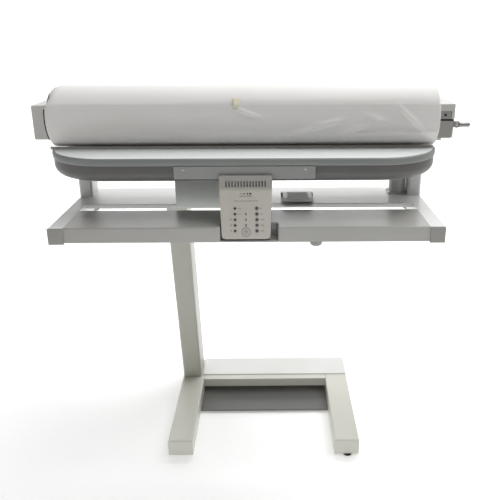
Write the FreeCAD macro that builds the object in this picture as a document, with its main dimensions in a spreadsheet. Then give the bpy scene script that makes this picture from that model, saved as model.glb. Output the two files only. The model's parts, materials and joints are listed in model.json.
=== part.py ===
"""Free-standing rotary ironer: padded roller, heated shoe, feed board, laundry tray and stand.

Millimetres. X runs along the roller to the user's right, Y points away from the user, Z is up.
The origin is on the floor, under the middle of the machine's overall box.
"""
import FreeCAD, Part
import os
import re
import Sketcher
from FreeCAD import Placement, Rotation, Vector

SIZES = {
    # Stand: two box feet joined by a crossbar, a leaning column and its head plate.
    "pad_radius": 9,
    "pad_height": 5,
    "pad_inset": 30,
    "stand_left": -213,
    "stand_rear": 216,
    "foot_width": 61,
    "foot_height": 40,
    "foot_length": 382,
    "foot_gap": 348,
    "foot_wall": 3,
    "foot_block": 50,
    "foot_round": 4,
    "crossbar_depth": 108,
    "crossbar_height": 24,
    "ballast_lid_thick": 3,
    "ballast_lid_step": 21,
    "ballast_lid_gap": 3,
    "floor_plate_front": 12,
    "floor_plate_depth": 178,
    "floor_plate_thick": 4,
    "column_width": 51,
    "column_depth": 77,
    "column_wall": 3,
    "column_inset": 2,
    "column_rear_inset": 19,
    "column_rise": 560,
    "column_top_setback": 98,
    "column_round": 6,
    "head_plate_thick": 6,
    "head_plate_lap_side": 35,
    "head_plate_lap_end": 18,
    # Laundry tray: front beam, two cheeks and a rear shelf, with a slot between beam and shelf.
    "tray_left_inset": 19,
    "tray_right_inset": 2,
    "tray_front": -213,
    "tray_depth": 314,
    "tray_height": 32.5,
    "tray_wall": 3,
    "tray_round": 3,
    "cheek_width": 32,
    "cheek_block": 40,
    "cheek_cap_thick": 3,
    "cheek_cap_drop": 3,
    "front_depth": 122,
    "shelf_depth": 143,
    "shelf_lip": 10,
    "notch_left": -62,
    "notch_width": 120,
    "notch_depth": 32,
    "notch_round": 6,
    "tray_foot_radius": 14,
    "tray_foot_taper": 4,
    "tray_foot_height": 19,
    "tray_foot_offset": 155,
    "tray_foot_inset": 33,
    "tray_foot_rib": 18,
    # Posts and the beam behind the roller.
    "post_setback": 79,
    "post_depth": 56,
    "post_rise": 131,
    "post_wall": 3,
    "post_round": 6,
    "beam_depth": 56,
    "beam_height": 98.7,
    "beam_wall": 3,
    "back_panel_thick": 2.5,
    "beam_gap": 6.5,
    # End housings that carry the roller.
    "left_head_width": 41,
    "right_head_width": 40,
    "arm_height": 75.2,
    "arm_reach": 20,
    "arm_gap": 3,
    "arm_wall": 3,
    "arm_inner_wall": 12,
    "arm_cover_thick": 3,
    "arm_chamfer": 6,
    "cap_thick": 4,
    "cap_split_height": 38,
    "cap_split_gap": 4,
    "cap_recess_inset": 6,
    "cap_recess_height": 18,
    "cap_recess_depth": 2,
    "bush_wall": 4,
    "bush_length": 12,
    "running_gap": 0.05,
    # Roller: aluminium tube, felt padding, cotton cover and two end discs with journals.
    "roller_middle": -15,
    "roller_length": 850,
    "roller_drop": 26.7,
    "tube_radius": 60,
    "tube_wall": 2.5,
    "padding_thick": 6,
    "padding_round": 5.5,
    "cloth_thick": 2.5,
    "end_disc_thick": 6,
    "journal_radius": 8,
    # Belt drive in the left end housing.
    "motor_offset": 28,
    "motor_radius": 22,
    "motor_length": 130,
    "motor_bore_depth": 25,
    "shaft_radius": 5,
    "pulley_big": 13,
    "pulley_small": 6.5,
    "pulley_width": 16,
    "pulley_flange": 1.5,
    "pulley_flange_thick": 1.5,
    "pulley_inset": 5,
    "belt_thick": 2,
    "belt_width": 12,
    "belt_gap": 0.3,
    # Heated shoe under the roller, with its heater, carrier, guide rods and lift actuator.
    "shoe_clear": 0.4,
    "shoe_thick": 7,
    "shoe_travel": 10,
    "shoe_front_wrap": 35,
    "shoe_rear_wrap": 50,
    "shoe_end_gap": 14,
    "heater_radius": 4,
    "heater_half_pitch": 14,
    "heater_end_gap": 24,
    "heater_gap": 0.1,
    "thermostat_radius": 8.5,
    "thermostat_height": 8,
    "thermostat_gap": 0.1,
    "carrier_depth": 16,
    "carrier_half_width": 32,
    "carrier_wall": 5,
    "carrier_floor": 3,
    "carrier_flange": 24,
    "carrier_end_gap": 6,
    "guide_radius": 5,
    "guide_end_gap": 60,
    "guide_top_gap": 2.5,
    "lift_inset": 21,
    "lift_setback": 49,
    "lift_radius": 20,
    "lift_height": 76,
    "lift_flange_thick": 3,
    "lift_flange_lap": 4,
    "lift_rod_radius": 6,
    "lift_rod_seat": 45,
    "lift_arm_width": 30,
    "lift_arm_thick": 6,
    "lift_arm_lap": 10,
    "lift_arm_rise": 11,
    # Shoe housing, feed board and its edge trim.
    "housing_end_lap": 1,
    "housing_reach": 148,
    "housing_wall": 3,
    "housing_floor_gap": 12.1,
    "housing_rear_wall": 10,
    "housing_corner": 138,
    "housing_roll": 22,
    "board_drop": 65,
    "board_thick": 16,
    "board_overhang": 3,
    "board_side_overhang": 2,
    "board_setback": 46,
    "board_ear_setback": 30,
    "board_ear_gap": 2,
    "board_corner": 140,
    "board_edge_thick": 3,
    # Centre cover, electronics pedestal and control pod.
    "bridge_left": -157,
    "bridge_width": 293,
    "bridge_wall": 3,
    "bridge_rise": 9,
    "bridge_round": 2,
    "pedestal_left": -178,
    "pedestal_width": 218,
    "pedestal_depth": 60,
    "pedestal_wall": 2.5,
    "pod_left": -64,
    "pod_width": 111,
    "pod_height": 129,
    "pod_rise": 9,
    "pod_housing_gap": 3,
    "pod_depth": 80,
    "pod_head_depth": 3,
    "pod_wall": 2.5,
    "pod_notch_gap": 3,
    "pod_tray_gap": 6,
    "panel_front": -215,
    "panel_thick": 3,
    "panel_taper": 5,
    "panel_low_round": 10,
    "panel_top_round": 3,
    "vent_width": 2.6,
    "vent_pitch": 6.2,
    "vent_height": 12.4,
    "vent_drop": 10.8,
    "key_half_pitch": 22.7,
    "key_drop": 67.7,
    "key_row": 11.75,
    "key_radius": 3,
    "key_gap": 0.1,
    "key_proud": 1,
    "key_flange": 1.2,
    "key_flange_thick": 1,
    "power_radius": 7.5,
    "power_drop": 116.8,
    "lamp_radius": 2.5,
    "lamp_bar_width": 2.4,
    "lamp_bar_height": 5,
    "lamp_gap": 0.05,
    "switch_radius": 2,
    "switch_gap": 1,
    "board_standoff": 6,
    "standoff_radius": 3,
    "standoff_inset": 9,
    "standoff_foot": 5,
    "circuit_thick": 1.6,
    "circuit_inset": 5,
    "circuit_height": 84,
    "circuit_foot": 8,
    # Release lever on the right end housing.
    "lever_ear": 14,
    "lever_ear_depth": 8,
    "lever_setback": 6,
    "lever_pin_radius": 3,
    "lever_hub_radius": 6.5,
    "lever_hub_length": 9.2,
    "lever_face_gap": 0.3,
    "lever_rod_radius": 4.5,
    "lever_reach": 31,
    "lever_below_split": 9,
    # Foot switch, put away on the shelf.
    "pedal_left": 67,
    "pedal_width": 77,
    "pedal_overhang": 24,
    "pedal_depth": 78,
    "pedal_base_height": 6,
    "pedal_ear_width": 4,
    "pedal_ear_depth": 14,
    "pedal_ear_height": 14,
    "pedal_side_gap": 0.3,
    "pedal_pivot_height": 9.5,
    "pedal_pivot_inset": 7,
    "pedal_pin_radius": 3,
    "pedal_front_gap": 5,
    "pedal_treadle_thick": 6,
    "pedal_treadle_inset": 2,
    # Mains inlet and the visible screws.
    "inlet_inset": 153,
    "inlet_width": 32,
    "inlet_height": 26,
    "inlet_depth": 8,
    "inlet_rim": 3,
    "inlet_drop": 60,
    "screw_radius": 3,
    "screw_head": 1.5,
    "screw_inset": 20,
}

PLACES = {
    "foot_top": "pad_height + foot_height",
    "foot_front": "stand_rear - foot_length",
    "left_foot_inner": "stand_left + foot_width",
    "right_foot_inner": "left_foot_inner + foot_gap",
    "right_foot_outer": "right_foot_inner + foot_width",
    "crossbar_front": "stand_rear - crossbar_depth",
    "crossbar_bottom": "foot_top - crossbar_height",
    "column_left": "stand_left + column_inset",
    "column_front": "stand_rear - column_rear_inset - column_depth",
    "column_top": "foot_top + column_rise",
    "column_top_front": "tray_rear - column_top_setback",
    "shelf_under": "column_top + head_plate_thick",
    "tray_top": "shelf_under + tray_wall",
    "tray_bottom": "tray_top - tray_height",
    "tray_left": "roller_left + tray_left_inset",
    "tray_right": "roller_right - tray_right_inset",
    "tray_rear": "tray_front + tray_depth",
    "left_inner": "tray_left + cheek_width",
    "right_inner": "tray_right - cheek_width",
    "slot_front": "tray_front + front_depth",
    "shelf_front": "tray_rear - shelf_depth",
    "notch_right": "notch_left + notch_width",
    "tray_foot_across": "roller_middle + tray_foot_offset",
    "post_front": "tray_rear - post_setback",
    "beam_bottom": "tray_top + post_rise",
    "beam_top": "beam_bottom + beam_height",
    "beam_front": "tray_rear - beam_depth",
    "beam_back": "tray_rear - back_panel_thick",
    "roller_radius": "tube_radius + padding_thick + cloth_thick",
    "roller_left": "roller_middle - roller_length / 2",
    "roller_right": "roller_middle + roller_length / 2",
    "roller_across": "beam_front - beam_gap - roller_radius",
    "roller_axis": "beam_top - roller_drop",
    "left_arm_inner": "roller_left - arm_gap",
    "right_arm_inner": "roller_right + arm_gap",
    "head_left": "left_arm_inner - left_head_width",
    "head_right": "right_arm_inner + right_head_width",
    "head_width": "head_right - head_left",
    "arm_front": "roller_across - arm_reach",
    "arm_bottom": "beam_top - arm_height",
    "arm_outer": "head_left + arm_cover_thick",
    "arm_face": "arm_front + cap_thick",
    "cap_split": "arm_bottom + cap_split_height",
    "bush_radius": "journal_radius + bush_wall",
    "motor_across": "beam_front + motor_offset",
    "pulley_near": "arm_outer + pulley_inset",
    "left_journal": "roller_left - pulley_near",
    "shoe_axis": "roller_axis - shoe_travel",
    "shoe_inner": "roller_radius + shoe_clear",
    "shoe_outer": "shoe_inner + shoe_thick",
    "shoe_left": "roller_left + shoe_end_gap",
    "shoe_length": "roller_length - 2 * shoe_end_gap",
    "shoe_bottom": "shoe_axis - shoe_outer",
    "heater_level": "shoe_bottom - heater_gap - heater_radius",
    "carrier_bottom": "shoe_bottom - carrier_depth",
    "carrier_rear": "roller_across + carrier_half_width",
    "housing_floor": "carrier_bottom - housing_floor_gap",
    "housing_bottom": "housing_floor - housing_wall",
    "housing_left": "roller_left - housing_end_lap",
    "housing_width": "roller_length + 2 * housing_end_lap",
    "housing_front": "roller_across - housing_reach",
    "housing_rear": "post_front",
    "board_top": "roller_axis - board_drop",
    "housing_top": "board_top - board_thick",
    "board_left": "housing_left - board_side_overhang",
    "board_width": "housing_width + 2 * board_side_overhang",
    "board_front": "housing_front - board_overhang",
    "board_rear": "roller_across - board_setback",
    "board_ear_rear": "roller_across - board_ear_setback",
    "lift_across": "right_inner - lift_inset",
    "lift_back": "tray_rear - lift_setback",
    "lift_top": "tray_top + lift_height",
    "lift_arm_bottom": "carrier_bottom + lift_arm_rise",
    "bridge_bottom": "housing_bottom + bridge_rise",
    "bridge_front": "housing_front - bridge_wall",
    "pod_top": "bridge_bottom + pod_rise",
    "pod_bottom": "pod_top - pod_height",
    "pod_shoulder": "housing_bottom - pod_housing_gap",
    "pod_front": "panel_front + panel_thick",
    "pod_rear": "pod_front + pod_depth",
    "pod_waist": "tray_front + notch_depth - pod_notch_gap",
    "pod_underside": "tray_top + pod_tray_gap",
    "panel_setback": "bridge_front - pod_head_depth - panel_thick - panel_front",
    "panel_lean": "atan(panel_setback / pod_height)",
    "panel_top": "pod_bottom + pod_height / cos(panel_lean)",
    "pod_face_low": "panel_front + panel_thick / cos(panel_lean)",
    "pod_middle": "pod_left + pod_width / 2",
    "circuit_front": "pod_front + board_standoff",
    "key_level": "panel_top - key_drop",
    "power_level": "panel_top - power_drop",
    "lever_pivot_across": "head_right + lever_hub_radius + lever_face_gap",
    "lever_pivot_level": "cap_split - lever_below_split",
    "lever_face": "arm_face + lever_setback",
    "pedal_front": "shelf_front - pedal_overhang",
    "pedal_rear": "pedal_front + pedal_depth",
    "pedal_right": "pedal_left + pedal_width",
    "pedal_pivot_back": "pedal_rear - pedal_pivot_inset",
    "pedal_pivot_level": "tray_top + pedal_pivot_height",
    "pedal_base_top": "tray_top + pedal_base_height",
    "inlet_across": "head_right - inlet_inset",
}

KEY_ROWS = 5
VENT_COUNT = 14

doc = FreeCAD.newDocument("rotary_ironer")
dims = doc.addObject("Spreadsheet::Sheet", "dims")
for row, (name, value) in enumerate(SIZES.items(), start=1):
    dims.set(f"A{row}", name)
    dims.set(f"B{row}", str(value))
    dims.setAlias(f"B{row}", name)
probe = doc.addObject("App::FeaturePython", "probe")
probe.addProperty("App::PropertyFloat", "reading")
doc.recompute()

nodes = []


def expression(words):
    """Spell out a size in words as an expression on the sheet's cells."""

    def spell(match):
        word = match.group(0)
        if word in PLACES:
            return "(" + expression(PLACES[word]) + ")"
        if word in SIZES:
            return "dims." + word
        return word

    return re.sub(r"[a-z_]+", spell, str(words))


def number(words):
    """The present value of a size in words."""
    probe.setExpression("reading", expression(words))
    probe.recompute()
    return probe.reading


def bind(piece, **sizes):
    for prop, words in sizes.items():
        piece.setExpression(prop, expression(words))


def place(piece, x, y, z):
    for axis, words in zip("xyz", (x, y, z)):
        piece.setExpression("Placement.Base." + axis, expression(words))


def keep(piece):
    """Hand a finished sub-part in under its label."""
    nodes.append(piece)
    return piece


# Sketches and bodies.
ORIGIN_PLANES = {"x": "YZ_Plane", "y": "XZ_Plane", "z": "XY_Plane"}


def box_loop(u, width, v, height):
    """Corners of a rectangle from its lower corner and its two sizes."""
    right = f"{u} + {width}"
    top = f"{v} + {height}"
    return [(u, v), (right, v), (right, top), (u, top)]


def tie(sketch, kind, geometry, vertex, words):
    """Hold one coordinate of a sketch point at a size from the sheet."""
    if str(words) == "0":
        axis = -2 if kind == "DistanceX" else -1
        sketch.addConstraint(Sketcher.Constraint("PointOnObject", geometry, vertex, axis))
        return
    constraint = Sketcher.Constraint(kind, -1, 1, geometry, vertex, number(words))
    index = sketch.addConstraint(constraint)
    sketch.setExpression(f"Constraints[{index}]", expression(words))


def draw_polygon(sketch, corners):
    points = [Vector(number(u), number(v), 0) for u, v in corners]
    first = sketch.GeometryCount
    for index, point in enumerate(points):
        sketch.addGeometry(Part.LineSegment(point, points[(index + 1) % len(points)]))
    for index in range(len(points)):
        following = first + (index + 1) % len(points)
        sketch.addConstraint(Sketcher.Constraint("Coincident", first + index, 2, following, 1))
    for index, (u, v) in enumerate(corners):
        tie(sketch, "DistanceX", first + index, 1, u)
        tie(sketch, "DistanceY", first + index, 1, v)


def draw_circle(sketch, u, v, radius):
    centre = Vector(number(u), number(v), 0)
    circle = sketch.addGeometry(Part.Circle(centre, Vector(0, 0, 1), number(radius)))
    tie(sketch, "DistanceX", circle, 3, u)
    tie(sketch, "DistanceY", circle, 3, v)
    index = sketch.addConstraint(Sketcher.Constraint("Radius", circle, number(radius)))
    sketch.setExpression(f"Constraints[{index}]", expression(radius))


def new_sketch(body, axis, start):
    """A sketch square to an axis, at a given place along it."""
    sketch = body.newObject("Sketcher::SketchObject", body.Name + "_sketch")
    role = ORIGIN_PLANES[axis]
    plane = next(feature for feature in body.Origin.OriginFeatures if feature.Role == role)
    sketch.AttachmentSupport = [(plane, "")]
    sketch.MapMode = "FlatFace"
    offset = f"-({start})" if axis == "y" else start
    sketch.setExpression("AttachmentOffset.Base.z", expression(offset))
    return sketch


def draw(body, axis, start, loops):
    sketch = new_sketch(body, axis, start)
    for loop in loops:
        if loop[0] == "circle":
            draw_circle(sketch, *loop[1:])
        else:
            draw_polygon(sketch, loop)
    return sketch


def add(body, axis, start, length, *loops):
    """Pad closed loops along an axis from a starting place."""
    sketch = draw(body, axis, start, loops)
    pad = body.newObject("PartDesign::Pad", body.Name + "_pad")
    pad.Profile = sketch
    bind(pad, Length=length)
    pad.Reversed = axis == "y"
    return body


def prism(label, axis, start, length, *loops):
    body = doc.addObject("PartDesign::Body", label)
    return add(body, axis, start, length, *loops)


def pocket(body, axis, start, length, *loops):
    """Cut closed loops along an axis from a starting place, and see that material went."""
    doc.recompute()
    before = body.Shape.Volume
    sketch = draw(body, axis, start, loops)
    hollow = body.newObject("PartDesign::Pocket", body.Name + "_pocket")
    hollow.Profile = sketch
    bind(hollow, Length=length)
    hollow.Reversed = axis != "y"
    doc.recompute()
    if body.Shape.Volume >= before:
        raise RuntimeError(f"a pocket of {body.Label} cuts nothing")
    return body


def runs_along(edge, axis):
    """True for a straight edge along an axis."""
    if not isinstance(edge.Curve, Part.Line):
        return False
    direction = edge.Curve.Direction
    return abs(getattr(direction, axis)) > 0.999


def near(value, words):
    return abs(value - number(words)) < 0.01


def along(axis, **places):
    """Choose the straight edges along an axis whose middle lies at the given places."""

    def chosen(edge):
        middle = edge.CenterOfMass
        here = [near(getattr(middle, across), words) for across, words in places.items()]
        return runs_along(edge, axis) and all(here)

    return chosen


def rim(radius):
    """Choose the round edges of one radius."""
    return lambda edge: isinstance(edge.Curve, Part.Circle) and near(edge.Curve.Radius, radius)


def lying_at(axis, words):
    """Choose the edges that lie in a plane square to an axis."""

    def chosen(edge):
        box = edge.BoundBox
        low = getattr(box, axis.upper() + "Min")
        high = getattr(box, axis.upper() + "Max")
        return near(low, words) and near(high, words)

    return chosen


def dress(body, kind, size, chosen):
    """Round or chamfer the chosen edges of a body."""
    doc.recompute()
    base = body.Tip
    names = [f"Edge{index}" for index, edge in enumerate(base.Shape.Edges, start=1) if chosen(edge)]
    feature = body.newObject("PartDesign::" + kind, body.Name + "_" + kind)
    feature.Base = (base, names)
    if kind == "Fillet":
        bind(feature, Radius=size)
    else:
        bind(feature, Size=size)
    return body


def soften(body, radius, chosen):
    return dress(body, "Fillet", radius, chosen)


def turned(label, axis, profile, x, y, z, facing=1):
    """A turned piece: its profile holds (place along the axis, radius) pairs."""
    body = doc.addObject("PartDesign::Body", label)
    sketch = new_sketch(body, "y" if axis == "x" else "z", "0")
    if axis == "x":
        draw_polygon(sketch, profile)
    else:
        draw_polygon(sketch, [(radius, reach) for reach, radius in profile])
    spin = body.newObject("PartDesign::Revolution", label + "_spin")
    spin.Profile = sketch
    spin.ReferenceAxis = (sketch, ["H_Axis" if axis == "x" else "V_Axis"])
    spin.Angle = 360
    if facing < 0:
        body.Placement = Placement(Vector(), Rotation(Vector(0, 0, 1), 180))
    place(body, x, y, z)
    return body


# Primitives and booleans.
AXIS_TURNS = {
    "x": Rotation(Vector(0, 1, 0), 90),
    "y": Rotation(Vector(1, 0, 0), -90),
    "z": Rotation(),
}


def block(label, x, y, z, size_x, size_y, size_z):
    piece = doc.addObject("Part::Box", label)
    bind(piece, Length=size_x, Width=size_y, Height=size_z)
    place(piece, x, y, z)
    return piece


def bar(label, axis, x, y, z, radius, length):
    """A round bar that runs along an axis from the centre of its first end."""
    piece = doc.addObject("Part::Cylinder", label)
    bind(piece, Radius=radius, Height=length)
    piece.Placement = Placement(Vector(), AXIS_TURNS[axis])
    place(piece, x, y, z)
    return piece


def fuse(label, pieces):
    piece = doc.addObject("Part::MultiFuse", label)
    piece.Shapes = pieces
    return piece


def cut(label, base, tool):
    piece = doc.addObject("Part::Cut", label)
    piece.Base = base
    piece.Tool = tool
    return piece


def group(label, pieces):
    """Like pieces that stay separate solids in one node."""
    piece = doc.addObject("Part::Compound", label)
    piece.Links = pieces
    return piece


# Stand: box feet with solid ends, open below between them.
for label, left in (("left_foot", "stand_left"), ("right_foot", "right_foot_inner")):
    foot = prism(
        label, "y", "foot_front", "foot_length",
        box_loop(left, "foot_width", "pad_height", "foot_height"),
    )
    pocket(
        foot, "z", "pad_height", "foot_height - foot_wall",
        box_loop(
            f"{left} + foot_wall", "foot_width - 2 * foot_wall",
            "foot_front + foot_block", "foot_length - 2 * foot_block",
        ),
    )
    keep(soften(foot, "foot_round", lying_at("z", "foot_top")))

# Crossbar: a channel, open below, between the feet.
keep(prism(
    "crossbar", "x", "left_foot_inner", "foot_gap",
    [
        ("crossbar_front", "crossbar_bottom"),
        ("crossbar_front", "foot_top"),
        ("stand_rear", "foot_top"),
        ("stand_rear", "crossbar_bottom"),
        ("stand_rear - foot_wall", "crossbar_bottom"),
        ("stand_rear - foot_wall", "foot_top - foot_wall"),
        ("crossbar_front + foot_wall", "foot_top - foot_wall"),
        ("crossbar_front + foot_wall", "crossbar_bottom"),
    ],
))

# Pale lid over the ballast at the rear of the stand, beside the column.
lid = prism(
    "ballast_lid", "z", "foot_top", "ballast_lid_thick",
    box_loop(
        "column_left + column_width + ballast_lid_gap",
        "right_foot_outer - column_left - column_width - ballast_lid_gap",
        "crossbar_front + ballast_lid_step",
        "crossbar_depth - ballast_lid_step",
    ),
)
keep(soften(lid, "ballast_lid_thick / 2", lying_at("z", "foot_top + ballast_lid_thick")))

# Black plate at floor level between the feet.
keep(block(
    "floor_plate", "left_foot_inner", "floor_plate_front", "pad_height",
    "foot_gap", "floor_plate_depth", "floor_plate_thick",
))

# Column: a box tube that leans towards the user, from the left foot to the shelf.
column = prism(
    "column", "x", "column_left", "column_width",
    [
        ("column_front", "foot_top"),
        ("column_front + column_depth", "foot_top"),
        ("column_top_front + column_depth", "column_top"),
        ("column_top_front", "column_top"),
    ],
)
soften(column, "column_round", lambda edge: edge.BoundBox.ZLength > number("column_rise") / 2)
pocket(
    column, "x", "column_left + column_wall", "column_width - 2 * column_wall",
    [
        ("column_front + column_wall", "foot_top"),
        ("column_front + column_depth - column_wall", "foot_top"),
        ("column_top_front + column_depth - column_wall", "column_top"),
        ("column_top_front + column_wall", "column_top"),
    ],
)
keep(column)

keep(block(
    "column_head", "column_left - head_plate_lap_side", "column_top_front - head_plate_lap_end", "column_top",
    "column_width + 2 * head_plate_lap_side", "column_depth + 2 * head_plate_lap_end", "head_plate_thick",
))

# Rubber pads under the ends of both feet.
pads = []
for across in ("stand_left + foot_width / 2", "right_foot_inner + foot_width / 2"):
    for back in ("foot_front + pad_inset", "stand_rear - pad_inset"):
        pads.append(bar("pad", "z", across, back, "0", "pad_radius", "pad_height"))
keep(group("foot_pads", pads))

# Tray cheeks: box sections with solid ends, open below between them.
cheeks = (("left_cheek", "tray_left", "tray_left"), ("right_cheek", "right_inner", "tray_right"))
for label, left, outer in cheeks:
    cheek = prism(
        label, "y", "tray_front", "tray_depth",
        box_loop(left, "cheek_width", "tray_bottom", "tray_height"),
    )
    pocket(
        cheek, "z", "tray_bottom", "tray_height - tray_wall",
        box_loop(
            f"{left} + tray_wall", "cheek_width - 2 * tray_wall",
            "tray_front + cheek_block", "tray_depth - 2 * cheek_block",
        ),
    )
    keep(soften(cheek, "tray_round", along("y", x=outer, z="tray_top")))

# Moulded caps on the front ends of the cheeks.
caps = []
for label, left in (("left_cap", "tray_left"), ("right_cap", "right_inner")):
    cap = prism(
        label, "y", "tray_front - cheek_cap_thick", "cheek_cap_thick",
        box_loop(left, "cheek_width", "tray_bottom - cheek_cap_drop", "tray_height + cheek_cap_drop"),
    )
    caps.append(soften(cap, "cheek_cap_thick / 2", lying_at("y", "tray_front - cheek_cap_thick")))
keep(group("cheek_caps", caps))

# Front beam of the tray: open below, with a floored notch for the control pod and a rib over a tray foot.
beam = prism(
    "tray_front_beam", "z", "tray_bottom", "tray_height",
    [
        ("left_inner", "tray_front"),
        ("notch_left", "tray_front"),
        ("notch_left", "tray_front + notch_depth"),
        ("notch_right", "tray_front + notch_depth"),
        ("notch_right", "tray_front"),
        ("right_inner", "tray_front"),
        ("right_inner", "slot_front"),
        ("left_inner", "slot_front"),
    ],
)
soften(beam, "notch_round", along("z", y="tray_front + notch_depth"))
soften(beam, "notch_round", along("z", x="notch_left", y="tray_front"))
soften(beam, "notch_round", along("z", x="notch_right", y="tray_front"))
hollows = (
    ("left_inner + tray_wall", "notch_left - tray_wall"),
    ("notch_right + tray_wall", "tray_foot_across - tray_foot_rib"),
    ("tray_foot_across + tray_foot_rib", "right_inner - tray_wall"),
)
pocket(
    beam, "z", "tray_bottom", "tray_height - tray_wall",
    *[
        box_loop(left, f"{right} - ({left})", "tray_front + tray_wall", "front_depth - 2 * tray_wall")
        for left, right in hollows
    ],
    box_loop(
        "notch_left", "notch_width", "tray_front + notch_depth + tray_wall",
        "front_depth - notch_depth - 2 * tray_wall",
    ),
)
soften(beam, "tray_round", along("x", y="tray_front", z="tray_top"))
keep(add(
    beam, "z", "tray_bottom", "tray_wall",
    box_loop("notch_left", "notch_width", "tray_front", "notch_depth"),
))

# Rear shelf: a folded sheet with a lip at the front and the back.
shelf = prism(
    "rear_shelf", "x", "left_inner", "right_inner - left_inner",
    [
        ("shelf_front", "tray_top - shelf_lip"),
        ("shelf_front", "tray_top"),
        ("tray_rear", "tray_top"),
        ("tray_rear", "tray_top - shelf_lip"),
        ("tray_rear - tray_wall", "tray_top - shelf_lip"),
        ("tray_rear - tray_wall", "shelf_under"),
        ("shelf_front + tray_wall", "shelf_under"),
        ("shelf_front + tray_wall", "tray_top - shelf_lip"),
    ],
)
keep(soften(shelf, "tray_wall / 2", along("x", y="shelf_front", z="tray_top")))

# Rubber feet under the tray.
tray_feet = []
tray_foot_places = (
    ("tray_foot_across", "tray_front + tray_foot_inset"),
    ("tray_left + cheek_width / 2", "tray_rear - cheek_block / 2"),
    ("tray_right - cheek_width / 2", "tray_rear - cheek_block / 2"),
)
for across, back in tray_foot_places:
    tray_foot = doc.addObject("Part::Cone", "tray_foot")
    bind(tray_foot, Radius1="tray_foot_radius - tray_foot_taper", Radius2="tray_foot_radius")
    bind(tray_foot, Height="tray_foot_height")
    place(tray_foot, across, back, "tray_bottom - tray_foot_height")
    tray_feet.append(tray_foot)
keep(group("tray_feet", tray_feet))

# Posts: box tubes on the cheeks.
for label, left in (("left_post", "tray_left"), ("right_post", "right_inner")):
    post = prism(
        label, "z", "tray_top", "post_rise",
        box_loop(left, "cheek_width", "post_front", "post_depth"),
    )
    soften(post, "post_round", along("z"))
    pocket(
        post, "z", "tray_top", "post_rise",
        box_loop(
            f"{left} + post_wall", "cheek_width - 2 * post_wall",
            "post_front + post_wall", "post_depth - 2 * post_wall",
        ),
    )
    keep(post)

# Beam behind the roller: a channel, open at the back.
keep(prism(
    "rear_beam", "x", "left_arm_inner", "right_arm_inner - left_arm_inner",
    [
        ("beam_back", "beam_bottom"),
        ("beam_front", "beam_bottom"),
        ("beam_front", "beam_top"),
        ("beam_back", "beam_top"),
        ("beam_back", "beam_top - beam_wall"),
        ("beam_front + beam_wall", "beam_top - beam_wall"),
        ("beam_front + beam_wall", "beam_bottom + beam_wall"),
        ("beam_back", "beam_bottom + beam_wall"),
    ],
))
keep(block(
    "back_panel", "head_left", "beam_back", "beam_bottom", "head_width", "back_panel_thick", "beam_height",
))


# End housings: from the ends of the beam forward to the roller's axis.
def arm_loop(front, inset="0"):
    """Side outline of an end housing, drawn in by an inset."""
    return [
        (f"{front} + {inset}", f"arm_bottom + {inset}"),
        (f"{front} + {inset}", f"beam_top - {inset}"),
        (f"beam_back - {inset}", f"beam_top - {inset}"),
        (f"beam_back - {inset}", f"beam_bottom + {inset}"),
        (f"beam_front + {inset}", f"beam_bottom + {inset}"),
        (f"beam_front + {inset}", f"arm_bottom + {inset}"),
    ]


left_arm = prism("left_arm", "x", "arm_outer", "left_arm_inner - arm_outer", arm_loop("arm_front"))
pocket(
    left_arm, "x", "arm_outer", "left_arm_inner - arm_outer - arm_inner_wall",
    arm_loop("arm_front", "arm_wall"),
)
pocket(
    left_arm, "x", "arm_outer", "left_arm_inner - arm_outer",
    ("circle", "roller_across", "roller_axis", "bush_radius"),
    ("circle", "motor_across", "roller_axis", "shaft_radius + bush_wall"),
)
keep(left_arm)

left_cover = prism("left_arm_cover", "x", "head_left", "arm_cover_thick", arm_loop("arm_front"))
keep(dress(
    left_cover, "Chamfer", "arm_cover_thick * 2 / 3",
    lambda edge: near(edge.BoundBox.XMax, "head_left") and not near(edge.BoundBox.YMin, "beam_back"),
))

arm_body = prism(
    "right_arm_body", "x", "right_arm_inner", "head_right - right_arm_inner", arm_loop("arm_face"),
)
pocket(
    arm_body, "x", "right_arm_inner", "right_head_width - 2 * arm_wall",
    box_loop(
        "beam_front + arm_wall", "beam_back - beam_front - 2 * arm_wall",
        "beam_bottom + arm_wall", "beam_height - 2 * arm_wall",
    ),
)
pocket(
    arm_body, "x", "right_arm_inner", "bush_length",
    ("circle", "roller_across", "roller_axis", "bush_radius"),
)
ear = block(
    "lever_ear_block", "head_right", "lever_face", "lever_pivot_level - lever_ear / 2",
    "lever_ear", "lever_ear_depth", "lever_ear",
)
pin = bar(
    "lever_pin", "y", "lever_pivot_across", "lever_face - lever_hub_length", "lever_pivot_level",
    "lever_pin_radius", "lever_hub_length + lever_ear_depth",
)
keep(fuse("right_arm", [arm_body, ear, pin]))

# Two caps on the front of the right end housing, with a gap between them.
upper_cap = prism(
    "right_cap_upper", "y", "arm_front", "cap_thick",
    box_loop(
        "right_arm_inner", "head_right - right_arm_inner",
        "cap_split + cap_split_gap", "beam_top - cap_split - cap_split_gap",
    ),
)
pocket(
    upper_cap, "y", "arm_front", "cap_recess_depth",
    box_loop(
        "right_arm_inner + cap_recess_inset", "head_right - right_arm_inner - 2 * cap_recess_inset",
        "cap_split + cap_split_gap", "cap_recess_height",
    ),
)
keep(upper_cap)
lower_cap = prism(
    "right_cap_lower", "y", "arm_front", "cap_thick",
    [
        ("right_arm_inner", "arm_bottom"),
        ("head_right - arm_chamfer", "arm_bottom"),
        ("head_right", "cap_split - arm_chamfer"),
        ("head_right", "cap_split"),
        ("right_arm_inner", "cap_split"),
    ],
)
keep(lower_cap)

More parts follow.
